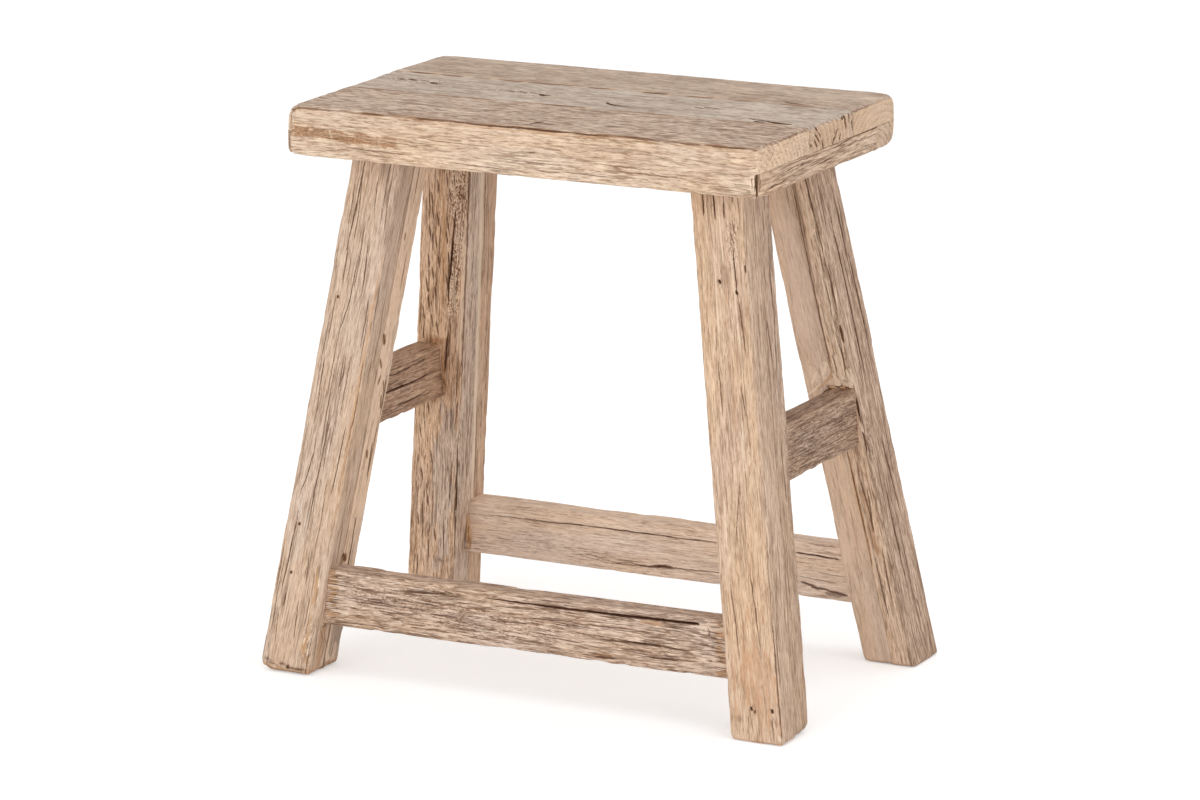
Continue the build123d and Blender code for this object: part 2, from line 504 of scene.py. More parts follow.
    def hole(self, side, centre, radius=1.1, depth=3.0):
        """A small round hole: the nearest rings of points are drawn in to its rim and floor."""
        across = self.across(side)
        rows = [
            np.rint(np.interp(place, self.rows[axis], np.arange(len(self.rows[axis]))))
            for axis, place in zip((self.grain, across), centre)
        ]
        steps = np.stack(
            [self.row[:, axis] - row for axis, row in zip((self.grain, across), rows)], axis=1
        )
        ring = np.abs(steps).max(axis=1)
        angle = np.arctan2(steps[:, 1], steps[:, 0])
        for number, share, sunk in HOLE_RINGS:
            there = self.on(side) & (ring == number)
            self.point[there, self.grain] = centre[0] + radius * share * np.cos(angle[there])
            self.point[there, across] = centre[1] + radius * share * np.sin(angle[there])
            self.point[there] -= self.outward[there] * depth * sunk
            # The floor of the hole is darkened with painted shade as well as dirt
            self.marks["hollow"][there] = np.maximum(self.marks["hollow"][there], sunk)

    def streak(self, mark, side, path, width, strength=1.0, ragged=0.6, ends=8.0):
        """A band of a mark along a path of (along, across) places on one side."""
        across = self.across(side)
        stations, places = zip(*sorted(path))
        along = self.point[:, self.grain]
        line = np.interp(along, stations, places)
        gap = np.abs(self.point[:, across] - line) / (width / 2)
        gap = gap + ragged * (self.noise(22, 3, 12) - 0.5) * 2
        inside = 1 - ramp(gap, 0.6, 1.15)
        inside *= ramp(along, stations[0] - ends, stations[0] + ends)
        inside *= 1 - ramp(along, stations[-1] - ends, stations[-1] + ends)
        self.add_mark(mark, inside * self.on(side) * strength)

    def patch(self, mark, side, centre, reach, strength=1.0, ragged=0.7):
        """An oval patch of a mark on one side."""
        edge = self.oval(side, centre, reach) + ragged * (self.noise(16, 4, 13) - 0.5) * 2
        self.add_mark(mark, (1 - ramp(edge, 0.5, 1.1)) * self.on(side) * strength)

    def depth_from(self, side):
        axis, end = SIDES[side]
        return np.abs(self.straight[:, axis] - self.low[axis] - self.size[axis] * end)

    def cover(self, mark, side, strength=1.0, spill=0.0):
        """A mark over a whole side, spilling over its edges by a ragged few millimetres."""
        away = self.depth_from(side) + (self.noise(14, 5, 14) - 0.5) * spill
        self.add_mark(mark, (1 - ramp(away, 0.4 + spill * 0.4, 0.8 + spill)) * strength)

    def seam_shadow(self, side, reach, strength):
        """Painted shade and dirt in stretches of the joint along a side that lies against another
        piece.
        """
        away = self.depth_from(side)
        seam_shade_and_dirt = 1 - ramp(away, 0.2, reach)
        seam_shade_and_dirt = seam_shade_and_dirt * ramp(self.noise(26, 8, 15), 0.3, 0.6)
        self.add_mark("hollow", seam_shade_and_dirt * strength)

    def band(self, mark, side, path, reach, strength=1.0, ragged=0.5):
        """A line of a mark across the grain on one side, along a path of (across, along) places."""
        waver = (self.noise(30, 7, 16) - 0.5) * 2 * ragged * reach
        line = np.interp(self.point[:, self.across(side)], *zip(*path))
        away = np.abs(self.point[:, self.grain] - line + waver) / reach
        self.add_mark(mark, (1 - ramp(away, 0.4, 1.1)) * self.on(side) * strength)

    def arris(self, mark, sides, reach, strength=1.0, broken=0.5, cell=22):
        """A mark along the edge between two sides, broken into stretches."""
        away = np.hypot(self.depth_from(sides[0]), self.depth_from(sides[1]))
        away = away / reach + 0.7 * (self.noise(7, 2.5, 18) - 0.5)
        stretches = ramp(self.noise(cell, 60, 19), broken - 0.22, broken + 0.08)
        self.add_mark(mark, (1 - ramp(away, 0.35, 1)) * stretches * strength)

    def draw(self, side, path, width, strength=1.0, taper=(0, 1), colour="brown"):
        """A fine line on one side, for the shading, along a path of places: (along, across), or
        on an end its two places in the order of the axes. It thins out at its ends, and taper
        says from where to where it runs in that thinning."""
        axis, end = SIDES[side]
        axes = [self.grain, self.across(side)] if axis != self.grain else sorted({0, 1, 2} - {axis})
        places = np.full((len(path), 3), self.low + self.size * end)
        places[:, axes] = path
        shares = np.linspace(*taper, len(path))
        for number in range(len(path) - 1):
            ends = places[number], places[number + 1]
            self.drawn.append((colour, ends, shares[number:number + 2], width, strength))

    def draw_all(self, side, *lines, colour="brown"):
        """Several lines of one colour: each has its path, width and strength."""
        for line in lines:
            self.draw(side, *line, colour=colour)

    def draw_like(self, side, width, strength, *paths, colour="brown"):
        """Several lines of one colour, width and strength."""
        for path in paths:
            self.draw(side, path, width, strength, colour=colour)

    def hairlines(self, side, count, lengths, width, strength, seed):
        """Fine brown checks, scattered over a side."""
        chance = np.random.default_rng(seed)
        axes = [self.grain, self.across(side)]
        low, size = self.low[axes], self.size[axes]
        for number in range(count):
            share = np.array([
                chance.uniform(0.02, 0.98), (number + chance.uniform(0.2, 0.8)) / count
            ])
            start = low + size * share
            reach = chance.uniform(*lengths) / 2
            drift = chance.uniform(-0.8, 0.8, 3)
            along = np.clip(start[0] + np.array([-reach, 0, reach]), low[0], low[0] + size[0])
            line = list(zip(along, start[1] + drift))
            self.draw(side, line, width * chance.uniform(0.8, 1.3), strength)

    def dot(self, side, place, width, strength=1.0, colour="brown"):
        """A small round mark, a little longer along the grain."""
        path = (place, (place[0] + width * DOT_STRETCH, place[1]))
        self.draw(side, path, width, strength, (0.5, 0.5), colour)

    def laid_places(self):
        """The places of the points in their own sides, as if nothing had been pressed in."""
        laid = self.point.copy()
        for side, (axis, _) in SIDES.items():
            laid[self.on(side), axis] = self.straight[self.on(side), axis]
        return laid

    def finish(self, slot, label, shift, tones, relief=0.0005, own=True):
        """Writes the carved points and the marks to the mesh, gives the piece a finish of its own
        and puts it in its place: shift is its place in the grain pattern."""
        material = timber_material(label, self.grain, shift, self.direction, relief, tones)
        place = self.point + self.lean
        mesh = self.bar.data
        laid = mesh.attributes.new("laid", "FLOAT_VECTOR", "POINT")
        laid.data.foreach_set("vector", self.laid_places().astype(np.float32).ravel())
        draw_lines(material, self.drawn)
        mesh.vertices.foreach_set("co", (place * MM).astype(np.float32).ravel())
        for mark, values in self.marks.items():
            layer = mesh.attributes.new(mark, "FLOAT", "POINT")
            layer.data.foreach_set("value", values.astype(np.float32))
        mesh.update()
        bpy.ops.object.select_all(action="DESELECT")
        self.bar.select_set(True)
        bpy.context.view_layer.objects.active = self.bar
        bpy.ops.object.shade_smooth_by_angle(angle=math.radians(SHARP_ANGLE))
        mesh.materials.clear()
        mesh.materials.append(material)
        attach(self.bar, "root")
        if own:
            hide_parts(self.name)


# Shading: a node tree being wired up

class Wiring:
    def __init__(self, tree):
        self.tree = tree

    def add(self, kind, **settings):
        node = self.tree.nodes.new("ShaderNode" + kind)
        for name, value in settings.items():
            setattr(node, name, value)
        return node

    def feed(self, socket, source):
        if isinstance(source, bpy.types.NodeSocket):
            self.tree.links.new(source, socket)
        else:
            socket.default_value = source

    def placed(self, kind, sources, **settings):
        """A node whose first inputs take the given sources in turn."""
        node = self.add(kind, **settings)
        for socket, source in zip(node.inputs, sources):
            self.feed(socket, source)
        return node

    def math(self, operation, first, *others):
        """A sum of two values, or of more from the left."""
        for other in others or (0,):
            node = self.placed("Math", (first, other, 0), operation=operation)
            first = node.outputs[0]
        return first

    def plus(self, *values):
        return self.math("ADD", *values)

    def minus(self, *values):
        return self.math("SUBTRACT", *values)

    def times(self, *values):
        return self.math("MULTIPLY", *values)

    def least(self, *values):
        return self.math("MINIMUM", *values)

    def most(self, *values):
        return self.math("MAXIMUM", *values)

    def vector(self, operation, *sources, output=0):
        """A sum of vectors; its output "Value" is a length or another single value."""
        return self.placed("VectorMath", sources, operation=operation).outputs[output]

    def scaled(self, vector, scale):
        node = self.placed("VectorMath", (vector,), operation="SCALE")
        self.feed(node.inputs["Scale"], scale)
        return node.outputs[0]

    def noise(self, place, along, across, detail=2.0, roughness=0.5, output=0):
        """Noise drawn out along the grain: along and across are waves per metre."""
        node = self.add("TexNoise")
        self.feed(node.inputs["Vector"], self.vector("MULTIPLY", place, (along, across, across)))
        for label, value in (("Scale", 1), ("Detail", detail), ("Roughness", roughness)):
            node.inputs[label].default_value = value
        return node.outputs[output]

    def waver(self, place, along, across, detail=2.0, roughness=0.5):
        """Noise of the same kind that pushes a place about, to either side."""
        push = self.noise(place, along, across, detail, roughness, "Color")
        return self.vector("SUBTRACT", push, (0.5, 0.5, 0.5))

    def step(self, value, low, high, out_low=0.0, out_high=1.0):
        """Rises smoothly between two values of its input."""
        sources = (value, low, high, out_low, out_high)
        return self.placed("MapRange", sources, interpolation_type="SMOOTHSTEP").outputs[0]

    def mix(self, share, first, second, blend="MIX"):
        node = self.add("Mix", data_type="RGBA", blend_type=blend)
        self.feed(node.inputs["Factor"], share)
        self.feed(node.inputs[6], first)
        self.feed(node.inputs[7], second)
        return node.outputs[2]


def paint(red, green, blue):
    """A colour given as it looks on the screen, from 0 to 255."""
    linear = []
    for value in (red, green, blue):
        value /= 255
        linear.append(value / 12.92 if value <= 0.04045 else ((value + 0.055) / 1.055) ** 2.4)
    return (*linear, 1)


def new_group(name, vectors, colours, values, outputs):
    """A node group: its vectors by name, and its colours and values with what they start at."""
    group = bpy.data.node_groups.new(name, "ShaderNodeTree")
    inputs = [(label, "Vector", None) for label in vectors]
    inputs += [(label, "Color", value) for label, value in colours.items()]
    inputs += [(label, "Float", value) for label, value in values.items()]
    for label, kind, value in inputs:
        socket = group.interface.new_socket(
            label, in_out="INPUT", socket_type="NodeSocket" + kind
        )
        if value is not None:
            socket.default_value = value
    for label, kind in outputs.items():
        group.interface.new_socket(label, in_out="OUTPUT", socket_type="NodeSocket" + kind)
    given, result = (group.nodes.new("NodeGroup" + end) for end in ("Input", "Output"))
    return Wiring(group), given.outputs, result.inputs


# The colours of a finish, each given as it looks on the screen
TONES = ("pale", "tan", "brown", "skin_light", "skin_dark", "stain_colour")

# What a finish is given first, in this order; the rest it is given by name
FIGURE = ("pale", "tan", "brown", "fibre", "fray", "bands", "pores", "lines", "strokes", "flecks")


def wood(*figure, **others):
    """The look of a timber: its three colours, and how strongly each part of its figure shows."""
    return dict(zip(FIGURE, figure), **others)


def socket_label(name):
    return name.replace("_", " ").title()


def old_timber_group():
    """Colour, roughness and relief of dry old timber whose grain runs along X."""
    w, given, result = new_group(
        "Old Timber", ("Place", "Pith"), {
            "Pale": paint(232, 208, 182), "Tan": paint(203, 176, 152), "Brown": paint(150, 118, 94),
            "Skin Light": paint(190, 170, 152), "Skin Dark": paint(140, 114, 96),
            "Stain Colour": paint(176, 132, 92),
        }, {
            "Sway": 0.003, "Spread": 1, "Fibre": 1, "Fray": 0.14, "Strokes": 0.6, "Flecks": 0.4,
            "Tint": 1, "Bands": 1, "Pores": 0.5, "Lines": 0.5, "Rings": 0.3, "Arcs": 0.2,
            "Ring Scale": 62,
            **{socket_label(mark): 0.0 for mark in MARKS},
        }, {"Color": "Color", "Roughness": "Float", "Height": "Float"},
    )

    # Spread makes the figure wider across Y, where a board is sawn along its growth rings
    stretch = w.placed("CombineXYZ", (1, given["Spread"], 1))
    place = w.vector("MULTIPLY", given["Place"], stretch.outputs[0])

    # The grain's waver: a slow sway and a short quiver, both across the grain
    sway = w.waver(place, 7, 20)
    quiver = w.waver(place, 45, 130)
    sway = w.scaled(sway, given["Sway"])
    quiver = w.scaled(quiver, w.times(given["Sway"], 0.12))
    shift = w.vector("MULTIPLY", w.vector("ADD", sway, quiver), (0, 1, 1))
    bent = w.vector("ADD", place, shift)

    fibres = w.noise(bent, 62, 980, 3, 0.62)
    hairs = w.noise(bent, 170, 1800, 2, 0.55)
    bands = w.noise(bent, 5, 170, 3, 0.6)
    clouds = w.noise(place, 13, 27, 2, 0.5)

    # Torn, furry grain: short strokes that turn this way and that
    torn = w.vector("ADD", place, w.scaled(w.waver(place, 70, 95), 0.005))
    slant = w.vector("DOT_PRODUCT", place, (0.4, 0, 0), output="Value")
    torn = w.vector("ADD", torn, w.scaled((0, 1, 0), slant))
    tears = w.noise(torn, 230, 880, 2, 0.6)
    frays = w.noise(bent, 95, 640, 2, 0.6)

    # Growth rings: long figure on the faces and arcs on the end grain
    centred = w.vector("SUBTRACT", w.vector("ADD", given["Place"], shift), given["Pith"])
    wave = w.add("TexWave", wave_type="RINGS", rings_direction="X", wave_profile="SAW")
    w.feed(wave.inputs["Vector"], centred)
    w.feed(wave.inputs["Scale"], given["Ring Scale"])
    w.feed(wave.inputs["Distortion"], 1.6)
    w.feed(wave.inputs["Detail"], 2)
    w.feed(wave.inputs["Detail Scale"], 0.6)
    rings = w.minus(wave.outputs["Fac"], 0.5)

    # Tone from 0, brown, to 1, pale
    def part(value, weight):
        return w.times(w.minus(value, 0.5), weight)

    fibre_weight = w.times(given["End Grain"], -0.72)
    fibre_weight = w.times(w.plus(fibre_weight, 1), given["Fibre"])
    fibre_part = w.plus(part(fibres, 1.6), part(hairs, 1.3))
    fibre_part = w.times(fibre_part, fibre_weight)
    band_part = w.times(w.plus(part(bands, 0.48), part(clouds, 0.32)), given["Bands"])
    ring_weight = w.times(given["End Grain"], given["Arcs"])
    ring_weight = w.plus(ring_weight, given["Rings"])
    ring_part = w.times(rings, ring_weight)
    rough_part = w.times(part(tears, 5), given["Rough"])
    fray_part = w.times(part(frays, 4), given["Fray"])
    rough_part = w.plus(rough_part, fray_part)
    tone = w.plus(w.plus(fibre_part, band_part), w.plus(ring_part, rough_part))
    tone = w.plus(tone, 0.5)

    colour = w.mix(w.step(tone, 0.1, 0.5), given["Brown"], given["Tan"])
    colour = w.mix(w.step(tone, 0.5, 0.9), colour, given["Pale"])

    ragged = part(fibres, 1.6)

    def mask(mark, low=0.3, high=0.7):
        return w.step(w.plus(mark, w.times(ragged, w.step(mark, 0, 0.2))), low, high)

    # Slow drifts of hue, from pinkish grey to gold
    drift = w.step(w.noise(place, 9, 34, 2, 0.5), 0.34, 0.66)
    drift = w.mix(drift, (0.99, 1.005, 1.04, 1), (1.012, 0.982, 0.93, 1))
    colour = w.mix(given["Tint"], colour, drift, "MULTIPLY")

    skin = w.mix(w.step(tone, 0.22, 0.78), given["Skin Dark"], given["Skin Light"])
    colour = w.mix(w.times(mask(given["Skin"]), 0.9), colour, skin)
    stained = w.mix(0.85, colour, given["Stain Colour"], "MULTIPLY")
    stained = w.mix(0.55, stained, given["Stain Colour"])
    colour = w.mix(w.times(mask(given["Stain"]), 0.8), colour, stained)
    colour = w.mix(w.times(mask(given["Bare"]), 0.7), colour, given["Pale"])

    # Open pores, dark hair lines and pale raised fibres
    def contours(noise, width):
        return w.step(w.math("ABSOLUTE", w.minus(noise, 0.5)), 0, width, 1, 0)

    pore_field = w.step(w.noise(place, 22, 60, 2, 0.5), 0.38, 0.62, 0.35, 1)
    pores = w.step(w.noise(bent, 120, 1050, 1, 0.5), 0.58, 0.68)
    side_grain = w.minus(1, w.times(given["End Grain"], 0.85))
    pores = w.times(pores, pore_field, given["Pores"])
    lines = contours(w.noise(bent, 11, 300, 2, 0.55), 0.04)
    line_field = w.step(w.noise(place, 24, 110, 2, 0.5), 0.46, 0.58)
    lines = w.times(lines, line_field, given["Lines"])
    strands = contours(w.noise(bent, 9, 370, 2, 0.5), 0.045)
    strand_field = w.step(w.noise(place, 30, 90, 2, 0.5), 0.42, 0.6)
    strands = w.times(strands, strand_field, given["Lines"])

    # Short tapered strokes along the grain: dark ones in clusters, and pale torn ends
    cluster = w.step(w.noise(place, 14, 55, 2, 0.5), 0.38, 0.62, 0.45, 1)
    strokes = w.step(w.noise(bent, 48, 560, 1, 0.5), 0.6, 0.66)
    strokes = w.times(strokes, cluster, given["Strokes"], side_grain)
    aside = w.vector("ADD", bent, (1.3, 0.7, 2.1))
    flecks = w.step(w.noise(aside, 46, 520, 1, 0.5), 0.6, 0.65)
    flecks = w.times(flecks, given["Flecks"], side_grain)
    dark = w.mix(0.42, given["Brown"], paint(78, 44, 24))
    colour = w.mix(flecks, colour, given["Pale"])
    colour = w.mix(strokes, colour, dark)
    colour = w.mix(w.times(strands, 0.6), colour, given["Pale"])
    colour = w.mix(w.times(pores, 0.8), colour, given["Brown"])
    colour = w.mix(w.times(lines, side_grain), colour, dark)
    # Hollows take a dark brown: painted shade in cracks, seams and gaps, with dirt there
    hollow = w.step(given["Hollow"], 0.05, 0.95)
    colour = w.mix(hollow, colour, paint(84, 51, 30))
    w.feed(result["Color"], colour)

    roughness = w.plus(0.7, w.times(fibres, 0.25))
    w.feed(result["Roughness"], w.plus(roughness, w.times(hollow, 0.1)))

    height = w.times(w.plus(w.times(fibres, 0.7), w.times(hairs, 0.3)), given["Fibre"])
    height = w.minus(height, w.times(pores, 0.5))
    height = w.minus(height, w.most(lines, strokes))
    height = w.plus(height, w.times(flecks, 0.4))
    height = w.plus(height, w.times(strands, 0.25))
    height = w.plus(height, w.times(rough_part, 0.5))
    w.feed(result["Height"], height)
    return w.tree


OLD_TIMBER = old_timber_group()

# How glossy dry timber is
TIMBER_GLOSS = 0.25

# Turns that lay each bar's grain along X for the grain pattern
GRAIN_TURNS = {
    0: (0, 0, 0),
    1: (0, 0, -math.pi / 2),
    2: (0, math.pi / 2, 0),
}


def timber_material(name, grain, shift, direction, relief, tones):
    """A finish for one bar: its grain direction, its place in the pattern, its relief and tones."""
    material = bpy.data.materials.new(name)
    material.use_nodes = True
    material.node_tree.nodes.clear()
    w = Wiring(material.node_tree)
    coordinates = w.add("TexCoord")
    mapping = w.add("Mapping", vector_type="POINT")
    w.feed(mapping.inputs["Vector"], coordinates.outputs["Object"])
    mapping.inputs["Location"].default_value = shift
    if direction is None:
        mapping.inputs["Rotation"].default_value = GRAIN_TURNS[grain]
    else:
        turn = direction.rotation_difference(Vector((1, 0, 0)))
        mapping.inputs["Rotation"].default_value = turn.to_euler()
    timber = w.add("Group", node_tree=OLD_TIMBER)
    w.feed(timber.inputs["Place"], mapping.outputs["Vector"])
    for mark in MARKS:
        layer = w.add("Attribute", attribute_name=mark)
        w.feed(timber.inputs[socket_label(mark)], layer.outputs["Fac"])
    for label, value in tones.items():
        if label in TONES:
            value = paint(*value)
        timber.inputs[socket_label(label)].default_value = value
    bump = w.add("Bump")
    bump.inputs["Strength"].default_value = 1.0
    bump.inputs["Distance"].default_value = relief
    w.feed(bump.inputs["Height"], timber.outputs["Height"])
    shader = w.add("BsdfPrincipled")
    w.feed(shader.inputs["Base Color"], timber.outputs["Color"])
    w.feed(shader.inputs["Roughness"], timber.outputs["Roughness"])
    shader.inputs["Specular IOR Level"].default_value = TIMBER_GLOSS
    w.feed(shader.inputs["Normal"], bump.outputs["Normal"])
    output = w.add("OutputMaterial")
    w.feed(output.inputs["Surface"], shader.outputs["BSDF"])
    return material


# Colours of the drawn lines, in the order in which they are laid: brown serves both for dark
# marks and for lines of painted shade
LINE_COLOURS = {
    "pale": paint(240, 216, 190),
    "gold": paint(196, 148, 104),
    "brown": paint(88, 54, 33),
}
LINE_RIPPLE = 1.5

# A drawn line is full up to some part of its reach and fades beyond it
LINE_CORE = 1.7
LINE_FADE = 2.8
LEAST_REACH = 0.05


def drawn_line_group():
    """How strongly a tapering line between two places shows at a place, all in millimetres."""
    w, given, result = new_group(
        "Drawn Line", ("Place", "From", "To"), {},
        {"First Share": 0, "Last Share": 1, "Width": 1, "Strength": 1}, {"Mask": "Float"},
    )
    way = w.vector("SUBTRACT", given["To"], given["From"])
    gone = w.vector("SUBTRACT", given["Place"], given["From"])
    share = w.math("DIVIDE", *(
        w.vector("DOT_PRODUCT", line, way, output="Value") for line in (gone, way)
    ))
    share = w.most(w.least(share, 1), 0)
    away = w.vector("DISTANCE", gone, w.scaled(way, share), output="Value")
    run = w.times(share, w.minus(given["Last Share"], given["First Share"]))
    run = w.plus(run, given["First Share"])
    taper = w.times(w.minus(1, run), run)
    taper = w.math("POWER", w.times(taper, 4), 0.5)
    reach = w.most(w.times(taper, given["Width"]), LEAST_REACH)
    mask = w.minus(LINE_CORE, w.times(w.math("DIVIDE", away, reach), LINE_FADE))
    mask = w.most(w.least(mask, 1), 0)
    w.feed(result["Mask"], w.times(mask, given["Strength"]))
    return w.tree


DRAWN_LINE = drawn_line_group()


def draw_lines(material, drawn):
    """Lays a bar's drawn lines over its colour."""
    w = Wiring(material.node_tree)
    nodes = {node.type: node for node in material.node_tree.nodes}
    shader = nodes["BSDF_PRINCIPLED"]
    laid = w.add("Attribute", attribute_name="laid").outputs["Vector"]
    ripple = w.waver(nodes["MAPPING"].outputs["Vector"], 170, 420, 2, 0.6)
    place = w.vector("ADD", laid, w.scaled(ripple, LINE_RIPPLE))
    colour = shader.inputs["Base Color"].links[0].from_socket
    for name, value in LINE_COLOURS.items():
        mask = None
        for line_colour, ends, shares, width, strength in drawn:
            if line_colour != name:
                continue
            line = w.add("Group", node_tree=DRAWN_LINE)
            w.feed(line.inputs["Place"], place)
            for socket, setting in zip(line.inputs[1:], (*ends, *shares, width, strength)):
                socket.default_value = setting
            mask = line.outputs[0] if mask is None else w.most(mask, line.outputs[0])
        if mask is None:
            continue
        colour = w.mix(mask, colour, value)
    w.feed(shader.inputs["Base Color"], colour)


# Seat boards

STRIPE_ENDS = (-200, -100)
STRIPE_HEIGHTS = (430.5, 427.5)
STRIPE_HALF_WIDTH = 4.2
STRIPE_GAPS = (-163, -119.5)

# The front edge looks like one board, because its two layers have the same grain
RIM_TONES = wood(
    (240, 216, 190), (216, 189, 164), (164, 130, 103), 0.9, 0.24, 0.9, 0.7,
    stain_colour=(176, 132, 94), sway=0.004, spread=0.45, rings=0.06, arcs=0.22,
    pith=(0, 0.19, 0.53),
)


# Stretches of painted shade and dirt in the seams of the seat's top, for the front seam and
# for the back one: where each starts and ends along the seat, and how dark it is
SEAM_SHADE_AND_DIRT_LINES = (
    (
        (-190, -150, 0.5), (-120, -70, 0.45), (-50, -20, 0.4), (-26, 12, 0.8), (40, 90, 0.4),
        (120, 175, 0.45),
    ),
    (
        (-186, -162, 1), (-157, -137, 0.8), (-128, -112, 0.4), (-105, -82, 0.75), (-79, -38, 0.9),
        (-26, -6, 0.8), (22, 44, 0.9), (60, 84, 0.7), (96, 118, 0.5), (140, 170, 0.5),
    ),
)


def seat_board(name, seed, seams, shown_sides, **tones):
    low, high = box_mm(name)
    radii = {side: HIDDEN_EASE for side in SIDES}
    for side in seams:
        radii[side] = SEAM_EASE
    rims = {(end, side): SEAM_EASE for end in ("left", "right") for side in seams}
    rims.update({(side, "top"): SEAM_EASE for side in seams})
    board = Timber(name, 0, low, high, seed, hidden=("under", *seams))
    board.ease(radii, rims)
    board.join_slab()
    board.weather(sway=0.45, ridge=0.22, chips=0.5, slab=True)
    for side in seams:
        board.seam_shadow(side, 0.7, 0.2)
        seam = low[1] if side == "front" else high[1]
        for start, end, strength in SEAM_SHADE_AND_DIRT_LINES[seam > 0]:
            # A golden stain along the seam, and over it a dark line of painted shade and dirt
            glow = [(start - 4, seam), (end + 6, seam + 0.8)]
            board.draw("top", glow, 5, strength * 0.8, colour="gold")
            path = [(start, seam), ((start + end) / 2, seam - 0.4), (end, seam + 0.3)]
            board.draw("top", path, 5.4, strength * 0.85)
    board.seam_shadow("under", 0.5, 0.3)
    board.cover("skin", "top", 1, spill=2)
    board.checks("top", 60, (10, 50), 0.6, 0.5, width=2.4)
    board.arris("hollow", ("right", "top"), 1.6, 0.6, 0.55, 9)
    board.arris("stain", ("right", "top"), 3.4, 0.5, 0.45, 14)
    for side in shown_sides:
        board.checks(side, 12, (8, 30), 0.5, 0.35, seed=300)
    return board


def rim_stripe(piece):
    """The rough brown stripe along the left part of the front edge, across both layers."""
    along, up = piece.point[:, 0], piece.point[:, 2]
    share = (along - STRIPE_ENDS[0]) / (STRIPE_ENDS[1] - STRIPE_ENDS[0])
    middle = STRIPE_HEIGHTS[0] + (STRIPE_HEIGHTS[1] - STRIPE_HEIGHTS[0]) * share
    wave = lattice_noise(np.stack([along / 9, up / 3, np.zeros_like(up)], axis=1) + 9, SLAB_SEED)
    gap = np.abs(up - middle) / STRIPE_HALF_WIDTH + 0.9 * (wave - 0.5)
    share = share + 0.12 * (wave - 0.5)
    ends = ramp(share, -0.02, 0.03) * (1 - ramp(share, 0.9, 1))
    for place in STRIPE_GAPS:
        ends = ends * (0.35 + 0.65 * ramp(np.abs(along - place) + 2 * (wave - 0.5), 0.4, 2.4))
    inside = (1 - ramp(gap, 0.7, 1.05)) * ends * piece.on("front")
    piece.point -= piece.outward * (0.5 * inside)[:, None]
    piece.add_mark("stain", inside)
    piece.add_mark("rough", inside * 0.75)


def front_board():
    board = seat_board("seat_board_front", 11, ("back",), ("front",))
    board.arris("stain", ("front", "top"), 2.8, 0.8, 0.4, 40)
    board.arris("hollow", ("front", "top"), 1.4, 0.6, 0.5, 24)
    for start, end, width, strength in (
        (-88, -54, 1.2, 0.7), (-56, 4, 1.8, 0.9), (0, 46, 1.9, 0.95), (48, 78, 1.6, 0.9),
        (92, 122, 1.2, 0.5), (132, 156, 1.2, 0.6), (158, 196, 1.4, 0.7), (-196, -160, 1.3, 0.5),
        (-140, -106, 1.1, 0.5),
    ):
        glow = [(start, 447), (end, 446.4)]
        board.draw("front", glow, width + 0.6, strength * 0.5, colour="gold")
        path = [(start, 448.8), ((start + end) / 2, 448.3), (end, 448.6)]
        board.draw("front", path, width, strength)
    board.draw("front", [(-201, 447), (-198, 440), (-200, 434)], 2, 0.5)
    board.gouge("front", (71.7, 448), (9, 3), 1.3, 0.35, 0.5)
    rim_stripe(board)
    board.crack("front", [(-96, 433.6), (-20, 432.6)], 1, 0.6, 0.8, 0.8, 1)
    board.crack("front", [(-10, 431.6), (70, 430.4)], 0.9, 0.5, 0.8, 0.5, 4)
    board.crack("front", [(60, 437), (130, 436.2)], 0.9, 0.5, 0.8, 0.5, 2)
    board.draw_all(
        "top", ([(5, -105), (8, -98), (10.5, -93)], 5, 1),
        ([(10, -101.5), (24, -100)], 4.4, 0.7),
    )
    for start, place in ((-147, -29), (-132, -27), (-160, -31), (60, -88), (140, -64), (-90, -84)):
        board.draw("top", [(start, place), (start + 12, place - 1)], 3.4, 0.7)
    for place in ((-120, -52), (-60, -70), (30, -60), (110, -80), (150, -50), (-20, -90)):
        path = [place, (place[0] + 42, place[1] + 2)]
        board.crack("top", path, 3, 1, 1.2, 0.55, int(place[0]), 0.3)
    skin = dict(skin_light=(203, 181, 164), skin_dark=(140, 114, 96))
    board.finish("seat_boards", "front seat board", (0, 0.31, 0.12), {**RIM_TONES, **skin})


# The middle board's two small knots: (along, across)
KNOTS = ((-40, 1.6), (-143, 11))

# The middle board's end grain: its pith is low at the front seam, and splits run out from it
END_PITH = (-32, 427)
END_ARCS = (9, 14, 18.5, 23)
END_SPLITS = (
    ((8.5, 432), (1.3, 3.6), 0.5), ((13.5, 437), (1.2, 3.4), 0.5),
    ((20, 433.5), (1.2, 3.2), 0.2), ((29, 443.5), (1.6, 6), -0.3),
    ((36, 446.5), (1.3, 4), 0.5), ((40.5, 439), (1, 5), -0.2),
    ((24, 447), (2.6, 1.2), 0),
)


